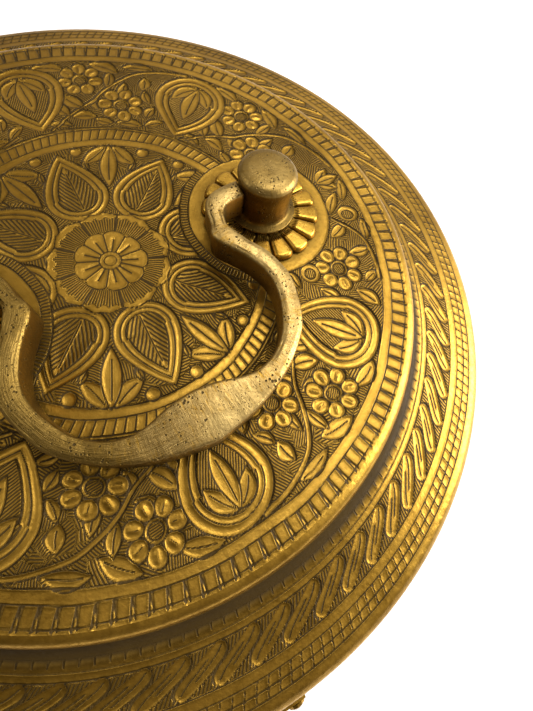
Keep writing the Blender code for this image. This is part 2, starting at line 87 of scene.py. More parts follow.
def polyline_distance(x, y, points):
    """Distance from each (x, y) to a broken line, and the share of the line at the nearest place."""
    best = np.full_like(x, 1e9)
    share = np.zeros_like(x)
    points = np.array(points, float)
    for i, (start, end) in enumerate(zip(points[:-1], points[1:])):
        along = end - start
        t = np.clip(((x - start[0]) * along[0] + (y - start[1]) * along[1]) / (along @ along), 0, 1)
        distance = np.hypot(x - start[0] - t * along[0], y - start[1] - t * along[1])
        closer = distance < best
        best = np.where(closer, distance, best)
        share = np.where(closer, (i + t) / (len(points) - 1), share)
    return best, share


def catmull(points, steps):
    """Smooth curve through the points, with this many steps from each to the next."""
    points = np.array(points, float)
    padded = np.vstack([2 * points[0] - points[1], points, 2 * points[-1] - points[-2]])
    curve = []
    for i in range(1, len(padded) - 2):
        p0, p1, p2, p3 = padded[i - 1 : i + 3]
        for t in np.arange(steps) / steps:
            curve.append(
                0.5 * (2 * p1 + (p2 - p0) * t + (2 * p0 - 5 * p1 + 4 * p2 - p3) * t**2
                       + (3 * p1 - p0 - 3 * p2 + p3) * t**3)
            )
    curve.append(points[-1])
    return np.array(curve)


def resample(points, count):
    """Points of a broken line spaced evenly along it."""
    points = np.array(points, float)
    steps = np.linalg.norm(np.diff(points, axis=0), axis=1)
    travelled = np.concatenate([[0], np.cumsum(steps)])
    wanted = np.linspace(0, travelled[-1], count)
    return np.column_stack([np.interp(wanted, travelled, points[:, i]) for i in range(points.shape[1])])


# --- engraving


class Engraving:
    """Relief and cut lines over a surface. Distances are in mm, and stripe counts hatch lines."""

    def __init__(self, shape):
        self.height = np.zeros(shape)
        self.line = np.full(shape, 2.0)
        self.hatch = np.zeros(shape)
        self.stripe = np.zeros(shape)
        # Painted shade: how much the colour is darkened where shade falls, in the cove under the lid's bead
        # and round the rosettes; on the posts' plain fields also a slightly darker tone.
        self.shade = np.zeros(shape)

    def ground(self, where, stripe, depth=0.16):
        """Hatches a sunken ground."""
        self.hatch = np.where(where, 1.0, self.hatch)
        self.stripe = np.where(where, stripe, self.stripe)
        self.height = np.where(where, self.height - depth, self.height)

    def raise_motif(self, inside, rise, round_over):
        """A motif, given its depth inside its outline, stands up from the ground and hides it."""
        cover = smooth(-0.12, 0.28, inside)
        share = np.clip(inside / round_over, 0, 1)
        crown = rise * np.sqrt(share * (2 - share))
        self.height = self.height * (1 - cover) + crown * cover
        self.hatch = self.hatch * (inside < 0)
        self.line = np.where(inside > 0, 2.0, self.line)
        self.line = np.minimum(self.line, np.abs(inside))

    def cut(self, distance, where=True, depth=0.12, width=0.35):
        """A cut line at distance 0."""
        distance = np.abs(distance)
        self.line = np.where(where, np.minimum(self.line, distance), self.line)
        self.height = np.where(where, self.height - depth * (1 - smooth(0, width, distance)), self.height)

    def hatched(self, where, stripe, strength=1.0):
        self.hatch = np.where(where, strength, self.hatch)
        self.stripe = np.where(where, stripe, self.stripe)


def hatch_patches(x, y, reach, seed):
    """Hatch count over a ground that was cut patch by patch, each patch with its own direction."""
    spacing, pitch = 5.0, 0.66
    rng = np.random.default_rng(seed)
    seeds = rng.uniform(-reach, reach, (int((2 * reach / spacing) ** 2), 2))
    directions = rng.uniform(0, math.pi, len(seeds))
    best = np.full(x.shape, 1e9)
    owner = np.zeros(x.shape, int)
    for i, (sx, sy) in enumerate(seeds):
        distance = (x - sx) ** 2 + (y - sy) ** 2
        closer = distance < best
        best[closer] = distance[closer]
        owner[closer] = i
    turn = directions[owner]
    bend = 0.5 * np.sin((x - y) / 3.1)
    return (x * np.cos(turn) + y * np.sin(turn) + bend) / pitch


def leaf_depth(s, t, length, half_width):
    """Distance inside a lens-shaped leaf from s = 0 to s = length."""
    share = np.clip(s / length, 0, 1)
    width = half_width * np.sin(math.pi * share) ** 0.85
    inside = (width - np.abs(t)) * 0.9
    past = np.maximum(-s, s - length)
    return np.where(past > 0, np.minimum(inside, -past), inside)


def drop_depth(s, t, radius, length):
    """Distance inside a teardrop: round about s = 0, with its tip at s = length."""
    share = np.clip(s / length, 0, 1)
    side = (radius * (1 - share**1.75) - np.abs(t)) * 0.86
    side = np.where(s > length, np.minimum(side, length - s), side)
    return np.where(s < 0, radius - np.hypot(s, t), side)


def polar(radius, angle):
    return radius * np.cos(angle), radius * np.sin(angle)


def turned(x, y, degrees):
    turn = math.radians(degrees)
    return x * math.cos(turn) + y * math.sin(turn), -x * math.sin(turn) + y * math.cos(turn)


def draw_leaf(cut, x, y, base, direction, length, half_width, rise=0.34, bend=0.0):
    """One small leaf with a vein, from its base point along a direction in degrees."""
    s, t = turned(x - base[0], y - base[1], direction)
    share = np.clip(s / length, 0, 1)
    t = t - bend * 4 * share * (1 - share)
    near = (s > -2) & (s < length + 2) & (np.abs(t) < half_width + 2)
    inside = np.where(near, leaf_depth(s, t, length, half_width), OUTSIDE)
    cut.raise_motif(inside, rise, 0.9)
    vein = near & (inside > 0.25) & (s > 0.12 * length) & (s < 0.82 * length)
    cut.cut(t, vein, 0.10, 0.30)


def draw_bands(cut, inside, wide=1.8, narrow=1.4):
    """The two raised bands and the groove between them that frame a teardrop."""
    cut.raise_motif(inside, 0.05, 0.4)
    first = np.clip(1 - ((inside - wide / 2) / (wide / 2)) ** 2, 0, 1)
    second = np.clip(1 - ((inside - wide - narrow / 2) / (narrow / 2)) ** 2, 0, 1)
    cut.height = np.where(inside > 0, 0.46 * np.sqrt(first) + 0.36 * np.sqrt(second), cut.height)
    cut.cut(inside - wide, inside > 0, 0.04, 0.4)
    cut.cut(inside - wide - narrow, inside > 0, 0.05, 0.4)


def draw_inner_drop(cut, x, y):
    """Teardrop of the inner ring, tip outwards, with a feathered leaf inside."""
    s, t = x - 23.0, y
    inside = drop_depth(s, t, 8.4, 15.8)
    draw_bands(cut, inside)
    leaf = inside > 3.25
    cut.height = np.where(leaf, 0.02 + 0.30 * smooth(3.2, 5.4, inside), cut.height)
    cut.hatched(leaf, (s * 0.50 - np.abs(t) * 0.87) / 0.95, 1.0)
    cut.hatch = np.where(leaf & (np.abs(t) < 0.40), 0.0, cut.hatch)
    cut.cut(t, leaf & (s < 9.0) & (s > -4.6), 0.16, 0.5)


def draw_palmette(cut, x, y):
    """Three leaves that hang from the inner band between two teardrops, with a berry on each side."""
    for side in (-1, 1):
        draw_leaf(cut, x, y, (40.4, 0.9 * side), 180 - 42 * side, 9.8, 2.3, 0.4, 0.5 * side)
        draw_leaf(cut, x, y, (20.0, 2.2 * side), 24 * side, 4.2, 1.0, 0.2)
        berry = 1.75 - np.hypot(x - 37.5, y - 9.4 * side)
        cut.raise_motif(berry, 0.4, 1.6)
        draw_leaf(cut, x, y, (30.4, 5.6 * side), 26 * side, 4.2, 0.9, 0.2)
    draw_leaf(cut, x, y, (40.6, 0), 180, 16.0, 2.5, 0.44)


def draw_centre_flower(cut, radius, angle):
    """Two rings of nine petals about a small button."""
    petal = math.tau / 9
    off = (angle + petal / 2) % petal - petal / 2
    edge = 16.0 - 1.3 * np.abs(off / (petal / 2)) ** 3 - 0.35 * np.abs(np.sin(13.5 * angle + math.pi / 2))
    cut.raise_motif(edge - radius, 0.16, 1.4)
    near = radius < 14.9
    cut.cut(radius * (petal / 2 - np.abs(off)), near | (edge - radius > 0), 0.14, 0.45)
    rays = (radius > 9.0) & (radius < 13.9 + 0.35 * np.sin(angle * 31))
    cut.hatched(rays, angle * 9 * 13 / math.tau, 0.8)
    off2 = (angle + petal) % petal - petal / 2
    edge2 = 9.4 - 1.1 * np.abs(off2 / (petal / 2)) ** 3
    cut.raise_motif(edge2 - radius, 0.18, 1.0)
    cut.cut(radius * (petal / 2 - np.abs(off2)), radius < 8.6, 0.14, 0.5)
    ridge = smooth(2.4, 4.0, radius) * (1 - smooth(6.6, 7.8, radius))
    ridge = np.exp(-((radius * off2 / 0.55) ** 2)) * ridge
    cut.height += 0.16 * ridge
    cut.cut(radius * off2, (radius > 2.6) & (radius < 7.0), 0.12, 0.3)
    cut.raise_motif(2.5 - radius, 0.30, 0.9)
    cut.cut(radius - 1.25, radius < 2.5, 0.2, 0.5)


def draw_outer_drop(cut, x, y):
    """Teardrop of the outer ring, tip inwards, with a three-leaf sprig on a hatched ground."""
    s, t = 65.1 - x, y
    inside = drop_depth(s, t, 11.1, 16.6)
    draw_bands(cut, inside, 2.3, 1.6)
    field = inside > 4.0
    cut.height = np.where(field, -0.16, cut.height)
    cut.hatched(field, (s * 0.5 - t * 0.86) / 0.62, 0.9)
    for turn, length, width, bend in ((-36, 9.8, 2.3, -0.9), (36, 9.8, 2.3, 0.9), (0, 15.2, 2.5, 0.0)):
        draw_leaf(cut, s, t, (-6.6, 0.0), turn, length, width, 0.42, bend)


def draw_post_sprig(cut, x, y):
    """Three leaves that fan out from a post's field, where a teardrop would be."""
    for turn, length in ((-34, 7.2), (34, 7.2), (0, 8.4)):
        draw_leaf(cut, x, y, (67.4, 0.0), turn, length, 1.9, 0.4)


def draw_daisy(cut, x, y, petals, spin):
    """A flower of round petals about a ringed centre."""
    radius, angle = np.hypot(x, y), np.arctan2(y, x) + spin
    step = math.tau / petals
    off = (angle + step / 2) % step - step / 2
    u, v = radius * np.cos(off) - 4.8, radius * np.sin(off)
    inside = np.where(radius < 8.0, 2.3 - np.hypot(u, v * (1.06 - 0.05 * u)), OUTSIDE)
    cut.raise_motif(inside, 0.42, 0.9)
    dent = np.hypot(np.maximum(np.abs(u + 0.1) - 0.8, 0), v * 1.1)
    cut.height -= 0.26 * np.exp(-((dent / 0.6) ** 2)) * (inside > 0.2)
    cut.cut(dent, (inside > 0.5) & (v > -0.1), 0.09, 0.34)
    cut.raise_motif(2.55 - radius, 0.46, 1.2)
    cut.cut(radius - 1.75, radius < 2.4, 0.12, 0.35)
    cut.hatched(radius < 1.6, (x + 0.5 * y) / 0.62, 0.9)


def draw_bud(cut, x, y, size):
    """A single round bud with a ringed, hatched middle."""
    radius = np.hypot(x, y)
    cut.raise_motif(size - radius, 0.42, 1.4)
    cut.cut(radius - 0.55 * size, radius < size, 0.12, 0.35)
    cut.hatched(radius < 0.48 * size, (x - 0.4 * y) / 0.6, 0.9)


SPRAY_STEM = [
    (75.6, 3.5), (74.4, 9.1), (71.8, 15.8), (68.0, 19.9), (63.2, 23.6), (59.0, 26.6),
    (55.4, 31.6), (51.4, 37.0),
    (48.0, 41.6),
]
# Leaves of the spray: radius and angle of the base, radius and angle of the tip, half width, bend
SPRAY_LEAVES = [
    (71.6, 20.2, 74.9, 26.2, 1.7, -0.7),
    (74.6, 11.4, 74.4, 18.4, 1.3, -0.8),
    (72.6, 33.0, 74.8, 39.6, 1.5, -0.9),
    (67.6, 18.6, 61.4, 19.6, 1.2, 0.5),
    (56.0, 29.8, 61.0, 34.6, 1.7, 0.6),
    (70.6, 13.6, 65.6, 13.2, 1.5, 0.5),
    (64.8, 12.6, 60.4, 10.2, 1.1, -0.5),
    (61.6, 26.0, 64.4, 31.0, 1.2, 0.4),
    (60.2, 26.4, 55.4, 25.2, 1.3, -0.4),
    (53.2, 34.8, 58.0, 37.6, 1.5, 0.6),
    (52.4, 34.4, 51.8, 27.6, 1.5, 0.7),
    (51.4, 27.0, 49.6, 21.8, 1.1, -0.4),
    (49.4, 20.4, 49.2, 12.2, 1.2, 0.7),
    (53.0, 10.6, 57.6, 8.8, 1.2, 0.4),
    (49.6, 10.6, 52.4, 5.2, 1.1, 0.4),
    (61.2, 38.6, 64.8, 36.4, 1.0, 0.3),
    (48.6, 34.4, 50.4, 41.0, 1.1, -0.4),
    (72.2, 22.6, 66.0, 23.0, 1.2, 0.4),
]
POST_SPRAY_STEM = [(76.0, 16.0), (75.6, 19.5), (73.8, 25.4), (70.4, 29.4), (66.0, 33.0)]
POST_SPRAY_LEAVES = [
    (74.6, 23.8, 68.4, 22.6, 1.3, 0.6),
    (74.4, 25.6, 75.2, 31.0, 1.2, -0.5),
    (68.2, 12.4, 74.6, 8.8, 1.6, 0.6),
    (69.6, 31.0, 64.4, 27.8, 1.4, 0.5),
    (66.4, 34.4, 71.0, 39.8, 1.3, 0.5),
    (72.6, 37.8, 75.0, 43.0, 1.2, -0.4),
    (56.8, 19.6, 52.6, 25.4, 1.2, 0.4),
    (57.6, 11.0, 63.2, 8.4, 1.3, 0.5),
    (58.0, 22.6, 57.4, 29.6, 1.1, 0.4),
    (71.4, 14.6, 74.8, 17.2, 1.1, 0.3),
    (52.0, 9.8, 49.2, 14.6, 1.1, 0.3),
    (65.4, 8.4, 71.4, 5.4, 1.1, 0.4),
]
DAISY_PETALS = 7


def draw_spray(cut, radius, degrees, stem, leaves, flowers, buds):
    """Flower spray between two outer teardrops. degrees runs from 0 at one to 45 at the next."""
    angle = np.radians(degrees - DROP_STEP / 2)
    x, y = polar(radius, angle)

    def place(r, d):
        turn = math.radians(d - DROP_STEP / 2)
        return np.array((r * math.cos(turn), r * math.sin(turn)))

    for r0, d0, r1, d1, width, bend in leaves:
        start, end = place(r0, d0), place(r1, d1)
        along = end - start
        direction = math.degrees(math.atan2(along[1], along[0]))
        length = float(np.linalg.norm(along)) * 1.18
        draw_leaf(cut, x, y, start, direction, length, width * 1.42, 0.38, bend)
    distance, share = polyline_distance(x, y, catmull([place(r, d) for r, d in stem], 4))
    cut.raise_motif(0.72 - 0.30 * share - distance, 0.32, 0.5)
    for r, d, spin in flowers:
        cx, cy = place(r, d)
        draw_daisy(cut, x - cx, y - cy, DAISY_PETALS, spin)
    for r, d, size in buds:
        cx, cy = place(r, d)
        draw_bud(cut, x - cx, y - cy, size)


def draw_ladder(cut, radius, angle, inner, outer, count, slant, tick_end=1.0, spear=False):
    """Flat cells between cut ticks, in a band between two radii."""
    width = outer - inner
    inside = (radius > inner) & (radius < outer)
    share = (radius - inner) / width
    cell = angle * count / math.tau + slant * share
    across = ((cell + 0.5) % 1.0 - 0.5) * math.tau * 0.5 * (inner + outer) / count
    off = np.abs(across)
    cut.height = np.where(inside, cut.height + 0.05 * smooth(0.1, 0.7, off), cut.height)
    if spear:
        blade = 0.15 + 0.42 * share - np.abs(across - 0.40)
        cut.raise_motif(np.where(inside & (share < 0.95), blade, OUTSIDE), 0.22, 0.35)
    cut.cut(off, inside & (share < tick_end) & (share > 0.04), 0.15, 0.4)


def in_handle(u, v, height):
    """Place of a point of the handle: along the pivot line, across it, and above the lid's top."""
    turn = math.radians(ORNAMENT_TURN)
    x = HANDLE_CENTRE[0] + u * math.cos(turn) - v * math.sin(turn)
    y = HANDLE_CENTRE[1] + u * math.sin(turn) + v * math.cos(turn)
    return x, y, LID_TOP + height


def post_places():
    """Centre of the left post, then of the right one."""
    for sign in (-1, 1):
        yield in_handle(sign * POST_REACH, 0.0, 0.0)[:2]


def draw_post_fields(cut, x, y):
    """Plain round field about each post, with a cut line and short ticks round it, a slightly darker tone
    over it, and painted shade round the rosette.
    """
    for px, py in post_places():
        distance, angle = np.hypot(x - px, y - py), np.arctan2(y - py, x - px)
        ticks = (distance > 21.4) & (distance < 23.8) & (np.hypot(x, y) < 46.5)
        cut.raise_motif(np.where(np.hypot(x, y) < 40, 23.9 - distance, OUTSIDE), 0.05, 0.6)
        cut.hatched(ticks & (np.hypot(x, y) < 40), angle * 160 / math.tau, 0.9)
        cut.raise_motif(21.4 - distance, 0.12, 1.0)
        # Painted shade, darkest where the field meets the rosette and gone by 20.5 mm, over a slightly darker
        # tone for the whole field.
        plain = 0.16 + 0.5 * (1 - smooth(16.5, 20.5, distance))
        cut.shade = np.maximum(cut.shade, np.where(distance < 21.4, plain, 0))


def draw_platform(radius, angle):
    """Everything cut into the flat top, up to the bead."""
    cut = Engraving(radius.shape)
    wobble = soft_noise(*polar(radius, angle), 3)
    turned_angle = angle - math.radians(ORNAMENT_TURN)
    radius = radius + 0.22 * wobble
    sway = soft_noise(*polar(radius, angle), 8)
    degrees = np.degrees(turned_angle) + 0.25 * sway
    sector = np.floor(degrees / DROP_STEP + 0.5).astype(int) % 8
    rng = np.random.default_rng(11)
    askew = rng.normal(0, 0.5, 8)[sector]
    drop_turn = np.radians((degrees + DROP_STEP / 2) % DROP_STEP - DROP_STEP / 2 + askew)
    gap_turn = np.radians(degrees % DROP_STEP - DROP_STEP / 2)
    drop_x, drop_y = polar(radius, drop_turn)
    gap_x, gap_y = polar(radius, gap_turn)

    x, y = polar(radius, angle)
    stripe = hatch_patches(x, y, 78, 17)
    cut.ground(radius < 40.1, stripe, 0.2)
    draw_palmette(cut, gap_x, gap_y)
    draw_inner_drop(cut, drop_x, drop_y)
    draw_centre_flower(cut, radius, turned_angle)
    cut.cut(radius - 40.1, True, 0.14, 0.4)
    cut.cut(radius - FIELD_RADIUS, True, 0.12, 0.4)

    outer = (radius > 47.4) & (radius < 76.4)
    cut.ground(outer, stripe, 0.2)
    far = np.full_like(radius, 20.0)
    spray = degrees % DROP_STEP
    by_post = np.isin(np.floor(degrees / DROP_STEP).astype(int) % 8, (3, 7))
    spray_radius = np.where(by_post, far, radius)
    daisies = ((57.4, 18.8, 0.3), (68.4, 29.8, 0.8))
    draw_spray(cut, spray_radius, spray, SPRAY_STEM, SPRAY_LEAVES, daisies, ())
    post_radius = np.where(by_post, radius, far)
    post_daisies = ((63.6, 17.8, 0.5),)
    post_buds = ((54.9, 15.4, 3.0), (72.0, 33.8, 3.2))
    draw_spray(cut, post_radius, spray, POST_SPRAY_STEM, POST_SPRAY_LEAVES, post_daisies, post_buds)
    at_post = np.isin(sector, (0, 4))
    draw_outer_drop(cut, np.where(at_post, 20.0, drop_x), drop_y)
    draw_post_sprig(cut, np.where(at_post, drop_x, 20.0), drop_y)
    for edge in (radius - 47.4, radius - 76.4, radius - 79.1):
        cut.cut(edge, True, 0.14, 0.4)
    draw_ladder(cut, radius, turned_angle, FIELD_RADIUS, 47.4, 120, 0.5, 0.82)
    cut.cut(radius - 46.6, True, 0.06, 0.3)
    draw_ladder(cut, radius, turned_angle, 79.1, 83.9, 144, 0.15, 1.0, spear=True)
    cut.cut(radius - 83.0, True, 0.06, 0.3)
    draw_post_fields(cut, x, y)
    return cut


def draw_brim(radius, angle, height):
    """Ladders and running leaf scroll on the sloping brim, with painted shade in the cove under the bead.
    height is measured down from the lid's top.
    """
    cut = Engraving(radius.shape)
    top = height < -7.4
    for edge in (90.4, 93.1, 94.9, 103.5, 106.1, 108.3, 110.3):
        cut.cut(radius - edge, top & (height > -12.6), 0.10, 0.35)
    draw_ladder(cut, radius, angle, 90.4, 93.1, 190, 0.1, 0.75)
    draw_ladder(cut, radius, angle, 106.1, 110.3, 236, 0.6)
    band = top & (radius > 94.9) & (radius < 103.5)
    pitch = math.tau * SCROLL_RADIUS / SCROLL_LEAVES
    wander = soft_noise(*polar(SCROLL_RADIUS, angle), 21)
    across = (radius - SCROLL_RADIUS) / SCROLL_HALF_BAND
    run = angle * SCROLL_RADIUS + 0.3 * wander
    ground_stripe = (run * 0.9 + (radius - SCROLL_RADIUS) * 0.45) / 0.78
    cut.ground(band, ground_stripe, 0.14)
    place = run + 5.2 * across + 0.7 * np.sin(across * math.pi)
    off = (place / pitch + 0.5) % 1.0 * pitch - 0.5 * pitch
    slope = (5.2 + 0.7 * math.pi * np.cos(across * math.pi)) / SCROLL_HALF_BAND
    narrowing = 1 / np.sqrt(1 + slope**2)
    width = 4.0 * np.clip(1 - np.abs(across) ** 2, 0, 1) ** 0.7
    inside = np.where(band, (width - np.abs(off)) * narrowing, OUTSIDE)
    cut.raise_motif(inside, 0.34, 0.8)
    for groove in (-0.9, 0.9):
        middle = (inside > 0.3) & (np.abs(across + 0.2 * groove) < 0.6)
        cut.cut((off - groove) * narrowing, middle, 0.08, 0.3)
    # Painted shade: the cove under the bead is darkened all round, where shade falls.
    cut.shade = smooth(86.9, 87.8, radius) * (1 - smooth(90.2, 94.0, radius)) * (height > -20)
    return cut


def draw_wall(run, height):
    """Cut bands round the body's wall. run is the distance round it."""
    cut = Engraving(run.shape)
    for edge in (45.6, 44.6, 22.2, 21.2):
        cut.cut(height - edge, True, 0.08, 0.35)
    band = (height > 22.2) & (height < 44.6)
    pitch = math.tau * WALL_RADIUS / WALL_REPEATS
    off = (run / pitch + 0.5) % 1.0 * pitch - 0.5 * pitch
    middle = 33.4
    cut.ground(band, (run * 0.8 + height * 0.5) / 0.95, 0.1)
    s, t = height - middle - 3.0, off
    inside = np.where(band, drop_depth(-s, t, 6.6, 12.0), OUTSIDE)
    draw_bands(cut, inside)
    field = inside > 3.6
    cut.hatched(field, (s * 0.6 + np.abs(t) * 0.9) / 0.95, 0.9)
    half = pitch / 2
    off2 = (run / pitch) % 1.0 * pitch - half
    for turn, length in ((90, 12.5), (52, 8.5), (128, 8.5)):
        draw_leaf(cut, off2, height - 24.2, (0.0, 0.0), turn, length, 1.9)
    for sign in (-1, 1):
        berry = np.where(band, 1.5 - np.hypot(off2 - sign * 4.6, height - 39.8), OUTSIDE)
        cut.raise_motif(berry, 0.2, 1.4)
    draw_daisy(cut, off2, height - 40.2, 6, 0.2)
    return cut


# --- meshes


def grid_piece(name, points, material, body, attributes=None, caps=(False, False)):
    """A surface from closed rows of points in mm. caps closes its first and last row with a flat face."""
    rows, columns = points.shape[:2]
    mesh = bpy.data.meshes.new(name)
    flat = points.reshape(-1, 3) * MM + np.array((0, AXIS_Y * MM, 0))
    across = np.arange(columns)
    nexts = (across + 1) % columns
    starts = (np.arange(rows - 1) * columns)[:, None]
    corners = [starts + across, starts + nexts, starts + columns + nexts, starts + columns + across]
    quads = np.stack(corners, axis=-1).reshape(-1, 4)
    ends = []
    if caps[0]:
        ends.append(np.arange(columns)[::-1])
    if caps[1]:
        ends.append((rows - 1) * columns + np.arange(columns))
    loops = np.concatenate([quads.reshape(-1)] + ends).astype(np.int32)
    sizes = np.concatenate([np.full(len(quads), 4), [len(end) for end in ends]]).astype(np.int32)
    mesh.vertices.add(len(flat))
    mesh.vertices.foreach_set("co", flat.reshape(-1).astype(np.float32))
    mesh.loops.add(len(loops))
    mesh.loops.foreach_set("vertex_index", loops)
    mesh.polygons.add(len(sizes))
    mesh.polygons.foreach_set("loop_start", np.concatenate([[0], np.cumsum(sizes)[:-1]]).astype(np.int32))
    mesh.polygons.foreach_set("use_smooth", np.array([size == 4 for size in sizes]))
    for key, values in (attributes or {}).items():
        layer = mesh.attributes.new(key, "FLOAT", "POINT")
        layer.data.foreach_set("value", np.ascontiguousarray(values.reshape(-1), np.float32))
    mesh.update(calc_edges=True)
    mesh.materials.append(material)
    piece = bpy.data.objects.new(name, mesh)
    bpy.context.scene.collection.objects.link(piece)
    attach(piece, body)
    return piece


def engraved_attributes(cut):
    return {"line": cut.line, "hatch": cut.hatch, "stripe": cut.stripe, "shade": cut.shade}


def lathe(name, profile, columns, material, body, centre=(0.0, 0.0), wobble=0.0, attributes=None):
    """Turns a (radius, height) line about a vertical axis, a row of points for each of its points."""
    profile = np.array(profile, float)
    angle = np.arange(columns) * math.tau / columns
    radius = np.maximum(profile[:, :1], 0.002) * (1 + wobble * np.sin(2 * angle + 0.7)[None, :])
    points = np.empty((len(profile), columns, 3))
    points[:, :, 0] = centre[0] + radius * np.cos(angle)
    points[:, :, 1] = centre[1] + radius * np.sin(angle)
    points[:, :, 2] = profile[:, 1:]
    return grid_piece(name, points, material, body, attributes=attributes)


def rounded(profile, spacing, softness):
    """Profile with points about this far apart and its corners softened over this distance."""
    profile = np.array(profile, float)
    length = np.linalg.norm(np.diff(profile, axis=0), axis=1).sum()
    line = resample(profile, max(4, int(length / (spacing / 4))))
    reach = max(1, int(softness / (spacing / 4)))
    kernel = np.hanning(2 * reach + 3)[1:-1]
    kernel /= kernel.sum()
    before = 2 * line[0] - line[reach:0:-1]
    after = 2 * line[-1] - line[-2 : -reach - 2 : -1]
    padded = np.vstack([before, line, after])
    soft = np.column_stack([np.convolve(padded[:, i], kernel, "valid") for i in range(2)])
    return resample(soft, max(4, int(length / spacing)))


def engraved_surface(name, profile, columns, cut_for, material, body, keep=None):
    """A turned surface whose points are moved along its normal by the relief that cut_for returns.

    keep gives each row's share of that relief, so that an edge can meet its neighbour's.
    """
    profile = np.array(profile, float)
    angle = np.arange(columns) * math.tau / columns
    radius = np.repeat(profile[:, :1], columns, 1)
    height = np.repeat(profile[:, 1:], columns, 1)
    turn = np.repeat(angle[None, :], len(profile), 0)
    cut = cut_for(radius, turn, height)
    along = np.gradient(profile, axis=0)
    along /= np.linalg.norm(along, axis=1)[:, None] + 1e-12
    normal = np.column_stack([-along[:, 1], along[:, 0]])
    push = cut.height * np.array(keep)[:, None] if keep is not None else cut.height
    out = radius + push * normal[:, :1]
    points = np.stack([out * np.cos(turn), out * np.sin(turn), height + push * normal[:, 1:]], axis=-1)
    return grid_piece(name, points, material, body, attributes=engraved_attributes(cut))


# --- materials


class Graph:
    """Short names for the shader nodes used here."""

    def __init__(self, name):
        self.material = bpy.data.materials.new(name)
        self.material.use_nodes = True
        self.tree = self.material.node_tree
        self.shader = self.tree.nodes["Principled BSDF"]
        self.shader.inputs["Metallic"].default_value = 1.0
        self.where = self.tree.nodes.new("ShaderNodeTexCoord").outputs["Object"]

    def feed(self, socket, value):
        if isinstance(value, bpy.types.NodeSocket):
            self.tree.links.new(value, socket)
        elif value is not None:
            socket.default_value = value

    def node(self, kind, inputs):
        node = self.tree.nodes.new("ShaderNode" + kind)
        for key, value in inputs.items():
            self.feed(node.inputs[key], value)
        return node

    def math(self, operation, a, b=None, clamp=False):
        node = self.node("Math", {0: a, 1: b})
        node.operation = operation
        node.use_clamp = clamp
        return node.outputs[0]

    def plus(self, a, b, clamp=False):
        return self.math("ADD", a, b, clamp)

    def times(self, a, b, clamp=False):
        return self.math("MULTIPLY", a, b, clamp)

    def larger(self, a, b):
        return self.math("MAXIMUM", a, b)

    def weighted(self, *terms):
        """Sum of terms, each a value and its weight."""
        total = self.times(*terms[0])
        for value, weight in terms[1:]:
            total = self.plus(total, self.times(value, weight))
        return total

    def ramp(self, value, low, high, to_low=0.0, to_high=1.0):
        limits = {"From Min": low, "From Max": high, "To Min": to_low, "To Max": to_high}
        node = self.node("MapRange", {"Value": value, **limits})
        node.interpolation_type = "SMOOTHSTEP"
        return node.outputs["Result"]

    def attribute(self, name):
        node = self.node("Attribute", {})
        node.attribute_name = name
        return node.outputs["Fac"]

    def stretch(self, scale):
        return self.node("Mapping", {"Vector": self.where, "Scale": scale}).outputs[0]

    def noise(self, size_mm, detail, vector=None):
        shape = {"Scale": 1000.0 / size_mm, "Detail": detail, "Roughness": 0.55}
        return self.node("TexNoise", {"Vector": vector or self.where, **shape}).outputs["Fac"]

    def cells(self, size_mm):
        inputs = {"Vector": self.where, "Scale": 1000.0 / size_mm}
        return self.node("TexVoronoi", inputs).outputs["Distance"]

    def vector(self, x, y):
        return self.node("CombineXYZ", {0: x, 1: y}).outputs[0]

    def mix(self, share, first, second):
        node = self.node("Mix", {})
        node.data_type = "RGBA"
        for index, value in ((0, share), (6, first), (7, second)):
            self.feed(node.inputs[index], value)
        return node.outputs[2]

    def bump(self, height, distance_mm):
        inputs = {"Height": height, "Distance": distance_mm * MM, "Strength": 1.0}
        self.feed(self.shader.inputs["Normal"], self.node("Bump", inputs).outputs[0])

    def matte_grime_and_shade(self, share):
        """Brass stops being a mirror where grime covers it, and where painted shade is laid on it."""
        self.feed(self.shader.inputs["Metallic"], self.ramp(share, 0.55, 1.0, 1.0, 0.15))
        self.shader.inputs["Specular IOR Level"].default_value = 0.18

    def done(self, colour, roughness):
        self.feed(self.shader.inputs["Base Color"], colour)
        self.feed(self.shader.inputs["Roughness"], roughness)
        return self.material


